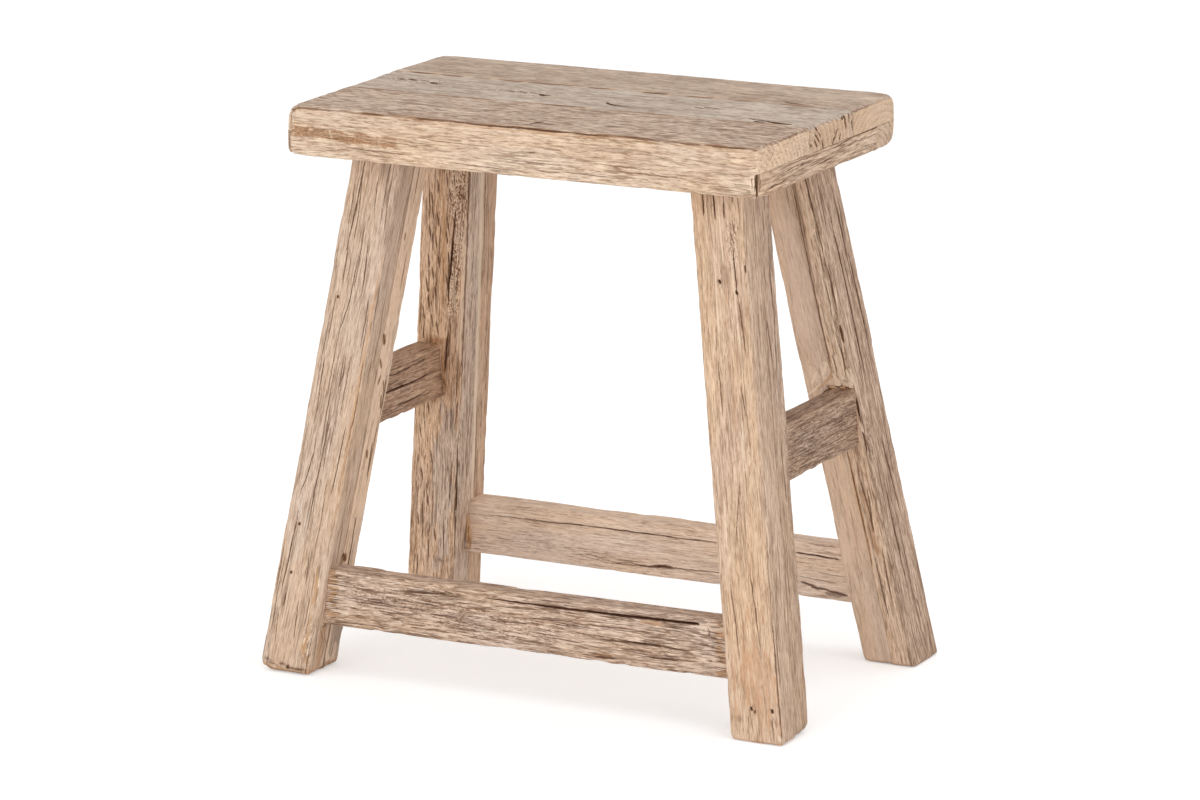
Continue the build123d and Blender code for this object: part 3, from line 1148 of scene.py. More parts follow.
def middle_board():
    board = seat_board("seat_board_middle", 12, ("front", "back"), ())
    board.crack("top", [(17, -7.4), (23, -11.4), (32, -13.8), (42, -13)],
                3.4, 2.4, 0.2, 1, 1, 0.6)
    for centre in KNOTS:
        board.gouge("top", centre, (5.5, 5), 1.4, 0.6, 0.9)
        board.draw("top", [(centre[0] - 7, centre[1]), (centre[0] + 5, centre[1] - 1)], 6.5)
        board.patch("rough", "top", (centre[0] - 16, centre[1]), (26, 7), 0.5)
        for start, strength in ((8, 0.6), (18, 0.9), (29, 0.8)):
            path = [(centre[0] - start - 10, centre[1] + 5), (centre[0] - start, centre[1] + 1)]
            board.draw("top", path, 3, strength)
    board.crack("top", [(-205, 9), (-150, 14)], 2.6, 0.8, 0.9, 0.6, 2, 0.4)
    board.crack("top", [(-170, 20), (-60, -28)], 2.6, 0.6, 1.4, 0.4, 3, 0.3)
    board.draw("top", [(16, -5), (22, -11), (30, -15), (41, -13)], 4.2)
    for path, width in (
        ([(144, -17), (157, -20.5), (168, -23.5)], 4.4),
        ([(162, -22), (174, -26), (186, -26.5)], 6), ([(152, -25), (164, -28)], 3.4),
    ):
        board.crack("top", path, 3.6, 2, 1, 0.8, int(path[0][0]), 0.5)
        board.draw("top", path, width)
    for along, across in ((92, 3), (98, 7), (105, 6), (-174, 9.5), (-166, 12)):
        board.draw("top", [(along - 5, across + 1), (along + 4, across - 1)], 3.4, 0.8)
    board.draw("top", [(60, 18), (72, 17)], 3, 0.5)
    for centre, reach, lean in END_SPLITS:
        end_split(board, centre, reach, lean)
        foot = (centre[0] - lean * reach[1] - 1, centre[1] - reach[1])
        head = (centre[0] + lean * reach[1] + 1, centre[1] + reach[1])
        board.draw("right", [foot, centre, head], reach[0] * 1.3, 0.85)
    for radius in END_ARCS:
        end_arc(board, END_PITH, radius)
    board.finish("seat_boards", "middle seat board", (0.4, 0.05, 0.32), wood(
        (226, 202, 176), (196, 168, 143), (140, 108, 84), 0.6, 0.14, 0.8, 0.4, 0.35, 0.35, 0.3,
        skin_light=(207, 194, 181), skin_dark=(158, 140, 125), stain_colour=(158, 112, 78),
        sway=0.005, spread=0.45, rings=0.05, arcs=0.3, ring_scale=52, pith=(0, 0.018, 0.748),
    ))


def end_split(board, centre, reach, lean):
    """A split in the end grain at the right, darkened with painted shade and dirt: centre is its
    depth and height on the stool.
    """
    upward = board.point[:, 2] - centre[1]
    aside = board.point[:, 1] - centre[0] - lean * upward
    edge = np.hypot(aside / reach[0], upward / reach[1]) + 0.7 * (board.noise(3, 2.5, 21) - 0.5)
    inside = (1 - ramp(edge, 0.4, 1.1)) * board.on("right")
    board.point -= board.outward * (0.9 * inside)[:, None]
    board.add_mark("hollow", inside)


def end_arc(board, pith, radius):
    """A growth ring opened a little round the pith, darkened with painted shade and dirt."""
    aside, upward = board.point[:, 1] - pith[0], board.point[:, 2] - pith[1]
    away = np.abs(np.hypot(aside, upward) - radius + 1.6 * (board.noise(6, 6, 22) - 0.5))
    inside = (1 - ramp(away, 0.4, 1.6)) * board.on("right")
    inside *= ramp(board.noise(7, 5, 23), 0.25, 0.5)
    board.point -= board.outward * (0.4 * inside)[:, None]
    board.add_mark("hollow", inside * 0.85)


def back_board():
    board = seat_board("seat_board_back", 13, ("front",), ("back",))
    board.draw_all(
        "top", ([(140, 51), (148, 48.5), (158, 48)], 3.8, 0.9),
        ([(136, 54), (170, 44)], 3, 0.4), ([(30, 46), (44, 45)], 3.4, 0.7),
    )
    board.crack("top", [(20, 64), (95, 66)], 2.4, 0.6, 0.8, 0.5, 2, 0.3)
    board.crack("top", [(-70, 84), (40, 88)], 2.4, 0.6, 0.8, 0.5, 3, 0.3)
    board.finish("seat_boards", "back seat board", (0.8, 0.17, 0.21), wood(
        (230, 205, 179), (203, 175, 149), (150, 117, 92), 0.6, 0.1, 1, 0.15, 0.3, 0.3,
        skin_light=(196, 176, 159), skin_dark=(152, 129, 112), stain_colour=(158, 112, 78),
        spread=0.45, rings=0.05, pith=(0, 0.26, 0.6),
    ))


# Edge strips under the rim of the boards

def edge_strip(name, grain, seed, slides, hidden, shown):
    low, high = box_mm(name)
    strip = Timber(name, grain, low, high, seed, slides=slides, hidden=("top", *hidden))
    strip.ease({side: HIDDEN_EASE for side in SIDES})
    strip.join_slab()
    strip.weather(sway=0.45, ridge=0.22, chips=0.8, slab=True)
    strip.seam_shadow("top", 0.5, 0.3)
    strip.checks(shown, 14, (8, 32), 0.5, 0.35)
    strip.checks("under", 12, (10, 40), 0.6, 0.5, seed=400)
    return strip


def mitre_slide(x_end, y_end, shift):
    """The inner corners of a strip's end, drawn back for its mitre."""
    return ({0: x_end, 1: y_end}, shift)


def front_strip():
    low, high = box_mm("edge_strip_front")
    wide = high[1] - low[1]
    slides = (mitre_slide(0, 1, (wide, 0, 0)), mitre_slide(1, 1, (-wide, 0, 0)))
    strip = edge_strip("edge_strip_front", 0, 21, slides, ("back", "left", "right"), "front")
    rim_stripe(strip)
    strip.crack("front", [(-112, 428.2), (-60, 427.4)], 1, 0.6, 0.5, 0.8, 1)
    for height, reach in ((421.5, 16), (418.2, 13), (415, 10)):
        strip.crack("front", [(199 - reach, height), (202.5, height - 1)], 1.1, 1.2, 0.3, 0.5)
        strip.streak("bare", "front", [(190 - reach, height + 1.5), (202, height + 1)], 2.6, 1)
    open_mitre(strip, "right", 0.7)
    strip.draw_all(
        "front", ([(200.6, 430), (201.6, 424), (200.4, 417)], 1.7, 0.9),
        ([(197.6, 427), (198.2, 421)], 1.1, 0.7),
    )
    strip.draw_all(
        "front", ([(199.4, 430), (199.6, 418)], 1.5, 0.9),
        ([(196.4, 428), (196.8, 416)], 1.3, 0.8), colour="pale",
    )
    for start, height, end in (
        (-150, 421, -90), (-60, 417, -10), (-20, 424, 40), (30, 418.5, 90), (96, 423, 150),
        (60, 427, 120),
    ):
        strip.draw("front", [(start, height), (end, height - 1.2)], 1.1, 0.6)
    strip.finish("edge_strips", "front edge strip", (0, 0.31, 0.12), RIM_TONES)


def end_strip(x_name, x_end, seed):
    name = "edge_strip_" + x_name
    low, high = box_mm(name)
    wide = high[0] - low[0]
    inner_end = 1 - x_end
    slides = (mitre_slide(inner_end, 0, (0, wide, 0)),)
    inner_side = "left" if x_end else "right"
    strip = edge_strip(name, 1, seed, slides, (inner_side, "back", "front"), x_name)
    for place in ((-70, 424), (-20, 419), (30, 424.5), (-100, 416.5), (5, 427)):
        path = [place, (place[0] + 38, place[1] + 1.2)]
        strip.crack(x_name, path, 1.5, 0.9, 0.6, 0.8, int(place[0]))
    if x_end:
        open_mitre(strip, "front", 1.2)
        strip.draw("right", [(-24, 430.2), (20, 430.4)], 1.2, 0.6)
        strip.draw("right", [(30, 430.2), (75, 430.2), (118, 430.4)], 2.6, 1, (0.1, 0.7))
        strip.draw_like(
            "right", 1.1, 0.6, [(-111, 422.7), (-90, 424.2), (-69, 425.3)],
            [(-97, 420.5), (-23, 424.8)], [(-23, 418.5), (5, 421), (31, 422)],
            [(-60, 417.5), (-20, 419)], [(30, 416.5), (70, 419)], [(50, 424), (100, 425)],
            [(-105, 416), (-70, 417)], [(-50, 428), (-10, 427)],
        )
        strip.draw("right", [(-115, 431), (-113.6, 424), (-114.6, 416)], 2, 0.9)
    strip.finish("edge_strips", x_name + " edge strip", (0.5 + 0.3 * x_end, 0.2, 0.66), wood(
        (228, 201, 175), (203, 174, 149), (152, 119, 94), 1, 0.18, 0.9, 0.7, 0.7, rings=0.1,
        pith=(0, 0.6, 0.6),
    ))


# Pale torn fibres beside the open mitre, by side: (along, height)
MITRE_FRAY = {
    "right": [(192, 428), (202, 427)],
    "front": [(-118, 426), (-112, 424)],
}


def open_mitre(strip, side, gap):
    """The mitre at the front right corner has opened: the tip of the strip is drawn back, and the
    slot is darkened with painted shade.
    """
    axis, end = SIDES[side]
    height = strip.point[:, 2]
    slot = ramp(height, 417, 421) * (1 - ramp(height, 429, 431))
    slot *= 0.45 + 0.55 * ramp(strip.noise(6, 2.5, 31), 0.2, 0.7)
    tip = np.maximum(np.abs(strip.point[:, 0]) - 196, 0) * np.maximum(-strip.point[:, 1] - 111, 0)
    near = (1 - ramp(strip.depth_from(side), 0.3, 4)) * ramp(tip, 8, 36)
    strip.point[:, axis] += (-1 if end else 1) * gap * near * slot
    ragged = ramp(strip.noise(5, 2, 32), 0.1, 0.5)
    # The slot is darkened with painted shade
    strip.add_mark("hollow", strip.on(side) * slot * ramp(tip, 6, 30) * 0.55 * ragged)
    strip.streak("bare", side, MITRE_FRAY[side], 3, 1, 1.2)


def back_strip():
    strip = edge_strip("edge_strip_back", 0, 24, (), ("front",), "back")
    strip.finish("edge_strips", "back edge strip", (0.7, 0.44, 0.11), wood(
        (226, 201, 175), (200, 172, 147), (150, 118, 93), 1, 0.14, 1, 0.6, 0.6, rings=0.1,
        arcs=0.3, pith=(0, 0.51, 0.5),
    ), relief=0.0006)


# Legs

LEG_TONES = {
    "leg_front_left_outer": wood(
        (230, 205, 182), (207, 180, 157), (168, 136, 112), 0.9, 0.12, 0.51, 0.5, 0.6, 0.38,
        skin_light=(222, 203, 187), skin_dark=(184, 159, 141), stain_colour=(204, 164, 126),
    ),
    # The front left leg's inner half is painted paler, as painted light against the shade on its
    # side under the seat
    "leg_front_left_inner": wood(
        (249, 223, 199), (233, 204, 179), (184, 150, 124), 0.7, 0.1, 0.68, 0.5, 0.38, 0.25,
    ),
    "leg_front_right_outer": wood(
        (236, 207, 180), (212, 181, 153), (166, 129, 101), 0.9, 0.12, 0.59, 0.5, 0.45, 0.3, 0.48,
        skin_light=(212, 184, 161), skin_dark=(164, 136, 114), stain_colour=(206, 160, 124),
    ),
    "leg_front_right_inner": wood(
        (216, 189, 166), (188, 160, 138), (146, 115, 92), 0.95, 0.16, 0.68, 0.6, 0.68, 0.38, 0.44,
    ),
    "leg_back_left_outer": wood(
        (240, 208, 180), (208, 174, 147), (156, 120, 93), 0.7, 0.08, 1.1, 0.4, 0.6, 0.3,
    ),
    "leg_back_left_inner": wood(
        (246, 217, 190), (218, 182, 151), (128, 89, 61), 0.9, 0.12, 0.77, 0.7, 0.68, 0.47, 0.24,
        skin_light=(232, 210, 191), skin_dark=(188, 161, 141), stain_colour=(186, 138, 96),
    ),
    "leg_back_right_inner": wood(
        (236, 209, 185), (216, 187, 163), (176, 144, 120), 0.6, 0.1, 0.85, 0.5, 0.3, 0.2,
    ),
    "leg_back_right_outer": wood(
        (248, 219, 192), (221, 189, 161), (164, 129, 101), 0.95, 0.16, 0.94, 0.7, 0.6, 0.4,
        skin_light=(200, 173, 152), skin_dark=(136, 108, 88), stain_colour=(186, 142, 104),
    ),
}


# What a leg's faces stand out before its wear takes its share, so that it keeps its width
LEG_SWELL = 0.8

# Painted shade and dirt in the glue seams of the legs, where it is not the usual
GLUE_SEAM_SHADE_AND_DIRT = {("back", "left"): 0.25, ("back", "right"): 0.3}


def leg_half(y_name, x_name, half_name, seed):
    """One of the two lengths of a leg, splayed by sliding its head."""
    name = f"leg_{y_name}_{x_name}_{half_name}"
    x_sign = 1 if x_name == "right" else -1
    y_sign = 1 if y_name == "back" else -1
    seam_axis, sign, share = 1, y_sign, SEAM_SHARE
    if (y_name, x_name) == ("back", "right"):
        seam_axis, sign, share = 0, x_sign, BACK_RIGHT_SEAM_SHARE
    half = LEG_SIDE / 2
    height = box_mm("edge_strip_front")[0][2]
    low, high = np.array([-half, -half, 0]), np.array([half, half, height])
    seam = sign * (share - 0.5) * LEG_SIDE
    outer = half_name == "outer"
    seam_at_low = (sign > 0) == outer
    if seam_at_low:
        low[seam_axis] = seam
    else:
        high[seam_axis] = seam
    foot = np.array([x_sign * LEG_FOOT[0], y_sign * LEG_FOOT[1], 0])
    head = np.array([x_sign * LEG_HEAD[0], y_sign * LEG_HEAD[1], 0])
    seam_side = next(side for side in SIDES if SIDES[side] == (seam_axis, 0 if seam_at_low else 1))
    leg = Timber(name, 2, low, high, seed, foot, (({2: 1}, head - foot),), (seam_side, "top"))
    radii = {side: LEG_EASE for side in SIDES}
    radii.update({"top": HIDDEN_EASE, seam_side: HIDDEN_EASE})
    rims = {
        (side, "under"): radius for side, radius in FOOT_EASE[y_name, x_name].items()
        if side != seam_side
    }
    leg.ease(radii, rims)
    leg.swell(LEG_SWELL)
    leg.weather(sway=0.6, ridge=0.24, chips=0.6)
    leg.cover("stain", "under", 0.8, spill=FOOT_STAIN[y_name, x_name])
    leg.seam_shadow(seam_side, 0.9, GLUE_SEAM_SHADE_AND_DIRT.get((y_name, x_name), 0.6))
    leg.direction = Vector(head - foot + np.array([0, 0, height])).normalized()
    for side in ("left", "right", "front", "back"):
        if side != seam_side:
            axis, end = SIDES[side]
            leg.checks(side, 12, (14, 50), 0.6, 0.5, seed=500 + axis * 50 + end)
    return leg


def finish_leg(leg, shift):
    tones = wood(sway=0.0035, rings=0.06, pith=(0, 0.02, 0.05), **LEG_TONES[leg.name])
    leg.finish("legs", leg.name.replace("_", " "), shift, tones, relief=0.0006)


# The top of the worn rim under the front left foot, marked with a dark line of painted shade
# where the surface turns down onto the bevel: (across, height)
FOOT_BEVEL = ((-22, 11.5), (-10, 8.5), (3, 6.2), (22, 4.5))


# Torn places on the front left leg's right side: (height, across) of their ends, and their width
SIDE_TEARS = (
    (((267, -1), (257, 4)), 3.4), (((247, 0), (238, 6)), 2.6), (((233, 7), (225, 4)), 2.8),
    (((216, 13), (204, 16)), 2.4), (((228, 12), (218, 16)), 1.8), (((175, 6), (166, 9)), 2.6),
    (((93, -1), (86, 5)), 6), (((345, 4), (338, 5)), 1.6), (((330, 12), (296, 13)), 1.5),
    (((196, 16), (150, 15)), 1.6), (((398, 8), (366, 8)), 1.4), (((120, 8), (100, 9)), 1.6),
)


def tear_side(leg):
    for path, width in SIDE_TEARS:
        leg.draw("right", path, width * 1.7, 0.5, colour="gold")
        leg.draw("right", path, width * 0.9, 0.75)


def front_left_leg():
    leg = leg_half("front", "left", "outer", 31)
    tear_side(leg)
    leg.hairlines("front", 24, (24, 90), 1, 0.75, 900)
    leg.hairlines("right", 8, (20, 60), 1.2, 0.6, 901)
    leg.draw("front", [(335, 20.6), (240, 20.8), (120, 20.4)], 2.4, 0.5, colour="gold")
    leg.draw("right", [(42, 3), (24, 2.4), (6, 1.6)], 2.8, 0.9, (0.2, 0.8), colour="pale")
    leg.draw_all(
        "right", ([(38, -16), (26, -8), (14, -10)], 1.8, 0.5),
        ([(34, -8), (22, -3), (10, -5)], 1.6, 0.5),
    )
    leg.draw_like(
        "front", 1.1, 0.6,
        [(84, 12), (60, 13.2)], [(52, 14), (30, 14)], [(30, 17.6), (14, 17.5)],
    )
    for path in (
        [(114, -1.1), (140, -1.5), (167, -0.4), (210, 0.8)], [(143, 13.8), (167, 15.2), (200, 16)],
        [(142, -14.4), (155, -10.6), (178, -8)], [(271, -4.9), (295, -0.9), (334, -0.1)],
        [(215, -13), (250, -14)], [(300, 9), (345, 6)], [(330, -12), (395, -9)],
        [(60, -15), (130, -12)],
    ):
        leg.crack("front", path, 1.1, 1, 0.6, 0.3, len(path) + int(path[0][0]))
        leg.draw("front", path, 1.1, 0.8)
    for place in ((296.5, -12), (117.9, -9.2), (79.7, -8.9)):
        leg.dot("front", place, 2.4)
    leg.draw("front", [(64.2, -10.5), (58, -10.2), (51.9, -10.8)], 1.6, 0.8)
    leg.draw_like(
        "front", 1.1, 0.8,
        [(391, -15.4), (371.8, -14.3), (352, -14.6)], [(392, -9.5), (361, -6.6), (340, -7)],
        [(392, 4.6), (362, 6.7)], [(390, 15.9), (351.5, 18.4)], [(337, -10.6), (309.9, -10.3)],
        [(250, 3), (222, 4)], [(100, 4), (70, 6)], [(48, -14), (20, -12)], [(60, 2), (28, 4)],
    )
    leg.streak("stain", "front", [(185, 19.5), (300, 18.5)], 5, 0.4, 1.6)
    leg.streak("stain", "front", [(8, 20), (17, 15), (29, 16), (58, 15.5), (82, 14)], 3.4, 0.6, 2.6)
    for path, width in (
        ([(86, 13), (76, 15.6), (68, 14)], 2.4), ([(66, 15.4), (56, 14.4)], 1.8),
        ([(48, 15.6), (38, 14.8)], 1.6), ([(34, 16.2), (24, 14.7), (16, 15.8)], 2.6),
        ([(28, 12.6), (18, 12)], 1.6), ([(16, 18), (8, 20)], 2.2),
    ):
        leg.draw("front", path, width, 0.65, colour="gold")
    leg.draw_like(
        "front", 1.8, 0.9, [(78, 17), (70, 17.4)], [(32, 18), (26, 17)],
        [(22, 17), (16, 18.6)], [(30, 14), (26, 13.4)], colour="pale",
    )
    leg.draw_like(
        "front", 1.1, 0.6,
        [(9.4, -19), (7, -13.4), (6.6, -9), (4.8, -4.6)], [(6, 5.6), (4.4, 11), (4.8, 16)],
    )
    leg.draw("front", [(5.2, -17), (2.2, -9), (1.2, 1), (1, 18)], 1.6, 0.55)
    leg.dot("front", (5.4, 3.1), 3.4, 0.9)
    leg.streak("rough", "front", [(6, 18), (40, 15)], 9, 0.6, 1.2)
    # A greyish sheen painted low on the front, in the weathered skin's colours
    leg.patch("skin", "front", (110, -8), (45, 12), 0.5)
    # A dark line of painted shade along the top of the foot's downward bevel
    leg.band("hollow", "front", FOOT_BEVEL, 1, 0.7, 0.9)
    leg.patch("hollow", "front", (5.5, 4), (1.6, 4.5), 0.7)
    leg.patch("stain", "right", (22, -9), (24, 11), 0.75, 1.2)
    # Painted shadow under the end of the front stretcher
    leg.patch("hollow", "right", (38.4, -14), (1.4, 9), 0.5)
    finish_leg(leg, (0.1, 0.03, 0.22))
    leg = leg_half("front", "left", "inner", 32)
    tear_side(leg)
    leg.hairlines("right", 8, (20, 70), 1.2, 0.6, 902)
    leg.patch("skin", "right", (20, 12), (26, 14), 0.9, 1.2)
    leg.swell(0.6)
    for path in ([(150, 14.4), (178, 13.2)], [(196, 17.5), (232, 16.5)], [(60, 10), (120, 9)]):
        leg.crack("right", path, 1.6, 1.2, 0.6, 0.6, int(path[0][0]))
        leg.draw("right", path, 1.8, 0.9)
    for place, reach in (((261, 2.4), (5, 1.6)), ((171.7, 7.2), (3, 1.2)), ((88.4, 2.5), (6, 3))):
        leg.gouge("right", place, reach, 0.8, 0.8, 0.8)
    leg.patch("rough", "right", (215, 16), (28, 4), 0.6)
    finish_leg(leg, (0.5, 0.33, 0.12))


def front_right_leg():
    leg = leg_half("front", "right", "outer", 33)
    for path in (
        [(385, -11.5), (411, -13)], [(384, -1.5), (411, -2.6)], [(384, 5.2), (411, 7)],
        [(286, 14.3), (333, 11.5), (367, 11.1)], [(345, 19.5), (358, 20)],
        [(240, -8.1), (282, -8.7)], [(242, 11.4), (264, 9.1)], [(134, -7), (194, 2.3)],
        [(60, -9), (110, -12)], [(70, 9), (126, 5)],
    ):
        leg.crack("front", path, 1.1, 1, 0.6, 0.25, len(path) + int(path[0][0]))
    leg.hairlines("front", 16, (16, 60), 0.9, 0.55, 910)
    leg.patch("stain", "front", (45, 2), (60, 24), 0.5, 1.2)
    leg.streak("rough", "front", [(352, 10), (385, 13)], 9, 0.7, 0.9)
    for place in ((330, 2), (285, 3), (235, 1)):
        leg.patch("stain", "front", place, (30, 4.2), 0.4, 1.2)
    leg.draw_all(
        "front", ([(404, -11), (386, -11.6)], 1.6, 1),
        ([(404, -2.2), (384, -1.9)], 1.6, 1), ([(398, 6), (385, 5.7)], 1.4, 0.9),
        ([(404, 13.8), (398, 13.9)], 1.2, 0.8),
        ([(367, 11), (352, 11.2), (338.5, 12), (329, 11.4)], 1.3, 0.9),
        ([(331, 12.2), (310, 13.9), (285, 15.4)], 1.1, 0.9), ([(353, 20), (347, 20.2)], 1.7, 0.9),
        ([(306.6, -8.3), (286.8, -9.1)], 1, 0.7), ([(282, -8.7), (240, -8.1)], 1, 0.7),
        ([(264, 9.1), (242, 11.4)], 1.1, 0.7), ([(194, 2.3), (134, -7)], 1, 0.5),
        ([(96, 20.2), (66, 20.8), (40, 21), (14, 21.2), (0, 21)], 1.3, 0.8),
        ([(23, 15.2), (12, 15), (3, 14.6)], 1, 0.7), ([(126, 5), (70, 9)], 1.1, 0.6),
        ([(110, -12), (60, -9)], 1.1, 0.6), ([(378, 9.5), (368, 12)], 1.2, 0.7),
        ([(386, 12), (374, 14)], 1.2, 0.7),
    )
    leg.draw_like(
        "front", 1.7, 0.7,
        [(366, 8.6), (338, 9.2), (300, 10.6), (268, 12)], [(362, -5), (318, -6), (296, -6.5)],
        [(240, 8), (200, 6.5)], [(395, 1.5), (350, 2)], [(180, -12), (140, -13)], colour="pale",
    )
    for place in ((338.7, -2.2), (331.9, 11.5), (25.3, -2.2), (25.5, 15.2)):
        leg.hole("front", place, 1.1, 3)
        leg.dot("front", place, 2.7)
    leg.dot("front", (23.3, 0.6), 2.4, 0.8)
    leg.dot("front", (15.7, -13.3), 4.5, 0.3)
    leg.dot("front", (5.3, 20), 4, 0.6, colour="pale")
    leg.cover("skin", "right", 1, spill=1.6)
    leg.hairlines("right", 12, (16, 60), 1.2, 0.6, 911)
    leg.gouge("front", (17, -14.5), (5, 3), 0.5, 0.3, 0.8)
    finish_leg(leg, (0.9, 0.13, 0.32))
    leg = leg_half("front", "right", "inner", 34)
    leg.hairlines("right", 10, (16, 60), 1.3, 0.6, 912)
    for path in ([(276, 5.6), (309, 1.8)], [(172, 12), (215, 9)], [(300, 14), (350, 12)]):
        leg.crack("right", path, 1.6, 1, 0.6, 0.6, int(path[0][0]))
        leg.draw("right", path, 1.8, 0.8)
    leg.streak("rough", "right", [(60, 18), (400, 17)], 8, 0.3, 1.2)
    finish_leg(leg, (0.3, 0.43, 0.42))


# The furry band down the back left leg's face: (height, across)
FURRY_BAND = [(252, 10), (285, 11.3), (318, 14.6), (343, 14), (367, 13.3), (405, 12.6)]


# The cream line down the back left leg's side, along its seam: (height, across)
BACK_LEFT_PALE_LINE = [(400, -3.6), (358, -3.1), (262, -1.6), (175, 0.1), (60, 1.2)]

# The dark crack along the left border of the furry band, from its top down
BORDER_CRACK = [(262, 6.6), (277, 5.8), (289, 7.1), (316, 8.4), (345, 10.2)]

# Short dark strokes left of that crack: (height, across) of their middles
SLANTED_STROKES = (
    (360, -7), (349, -12), (338, -11), (332, -6), (322, -13), (313, -7), (297, -13), (297, -4),
    (286, -9), (276, -14), (270, -6), (262, -12), (252, -16), (246, -8), (240, -3), (366, 1),
    (354, 4), (330, 3), (318, 2.5), (300, 5), (281, 4), (222, -12), (208, -6), (196, -14),
    (170, -8), (150, -15), (128, -4), (112, -12), (90, -6), (72, -14), (60, 2),
)


def back_left_leg():
    leg = leg_half("back", "left", "inner", 35)
    leg.streak("rough", "front", FURRY_BAND, 11, 1, 0.4)
    leg.streak("rough", "front", [(335, 12.5), (411, 12)], 17, 1, 0.5)
    leg.streak("bare", "front", FURRY_BAND[:4], 6, 0.5, 0.9)
    leg.streak("bare", "front", [(215, 18), (262, 18.8), (335, 19.4)], 4.5, 1, 0.4)
    leg.crack("front", BORDER_CRACK[1:-1], 2.4, 3, 0.4, 0.8, 1)
    leg.draw("front", BORDER_CRACK, 2.6)
    leg.hairlines("front", 22, (10, 40), 1.2, 0.7, 920)
    leg.draw_all(
        "front", ([(240, 7.6), (226, 6.6), (214, 6.4), (192, 4.8)], 2.6),
        ([(246, 9.6), (232, 9), (216, 8.4)], 1.8, 0.8),
        ([(412, 21), (360, 20.6), (317, 21.2), (240, 21.2), (180, 21.2)], 1.9, 0.75),
    )
    leg.draw_all(
        "front", ([(352, -1.4), (300, 1.1), (258, 0.3)], 5.5, 0.55),
        ([(411, -14), (380, -8), (352, -2)], 5, 0.35), colour="gold",
    )
    for height, across in SLANTED_STROKES:
        leg.draw("front", [(height + 6, across - 0.8), (height - 6, across + 1.2)], 1.7, 0.85)
    leg.crack("front", [(39, 20.6), (97, 20.4), (145, 20)], 1.8, 2, 0.5, 0.9, 2)
    for place in ((364, -14.8), (300, -13), (250, -16), (330, -4), (180, -12), (90, -10), (60, -4)):
        path = [(place[0] - 34, place[1] + 1), place]
        leg.crack("front", path, 1.6, 1.2, 0.8, 0.8, int(place[0]))
    leg.gouge("front", (37.6, 8), (3, 10), 0.6, 0.5, 1.4)
    leg.gouge("front", (229, -4), (4, 3.5), -1.6, 0, 1)
    leg.gouge("front", (181, -2), (4, 3), -1.4, 0, 1)
    leg.patch("stain", "front", (229, -4), (7, 7), 0.8)
    leg.patch("stain", "front", (181, -2), (6, 6), 0.8)
    leg.patch("skin", "front", (110, 10), (80, 11), 1)
    leg.cover("skin", "right", 0.9, spill=1)
    leg.draw("right", BACK_LEFT_PALE_LINE, 6, 0.85, (0.2, 0.8), colour="pale")
    finish_leg(leg, (0.7, 0.23, 0.02))
    leg = leg_half("back", "left", "outer", 36)
    leg.draw("right", BACK_LEFT_PALE_LINE, 6, 0.85, (0.2, 0.8), colour="pale")
    leg.draw_all(
        "right", ([(411, 1), (357, 1.8), (334, 2.9), (300, 3.4)], 1.8, 0.9),
        ([(180, 3.4), (130, 3.8), (90, 3.2)], 1.6, 0.8),
    )
    leg.checks("right", 14, (20, 70), 0.7, 0.7, seed=1600, width=1.8)
    finish_leg(leg, (0.2, 0.53, 0.32))


# The back right leg's dark glue seam above the side stretcher: (height, across)
BACK_RIGHT_SEAM = [(396, 5), (330, 4.7), (276, 4.6), (240, 4.9)]

# Where the back right leg's fibres are torn up above the side stretcher: (height, across)
TORN_JOINT = (233, 3)


def torn_round_joint(leg):
    """Lifted fibres above the joint of the side stretcher, on either half of the leg, with a line
    of painted shade under them.
    """
    height, across = TORN_JOINT
    leg.gouge("front", (height, across), (9, 19), -1.7, 0, 1.6)
    leg.patch("rough", "front", (height + 4, across), (14, 21), 0.6, 1)
    leg.patch("bare", "front", (height + 3, across), (13, 20), 0.9, 1.2)
    leg.gouge("front", (height - 6, across - 2), (3, 5), 1.2, 0.8, 1.4)
    # A brown line of painted shade under the lifted ridge
    leg.draw("front", [(216, -14), (224, -3.5), (228.5, 5), (229, 12), (228, 21)], 2.6, 0.9)
    leg.draw("front", [(240, 5), (233, 0), (224, -12)], 3, 0.6, colour="gold")
    leg.draw_like(
        "front", 2.6, 0.85, [(219, -21), (228, -8), (234, 4)],
        [(236, 6), (233, 12), (231.5, 21)], [(244, 9), (235, 13)], [(248, 2), (237, -3)],
        [(240, -8), (228, -15)], [(243, 18), (234, 20)], colour="pale",
    )


# The same seam below the side stretcher: (height, across)
BACK_RIGHT_LOW_SEAM = [(176, 3.4), (161, 3.9), (150, 3.6), (120, 4.4), (98, 4.6), (80, 4)]


def back_right_seam(leg):
    """The glue seam down the leg's front, on either half of the leg."""
    leg.draw("front", BACK_RIGHT_SEAM, 1.5, 0.85)
    leg.draw("front", BACK_RIGHT_LOW_SEAM, 3, 0.8, colour="gold")
    leg.draw("front", BACK_RIGHT_LOW_SEAM, 1.3, 0.7)


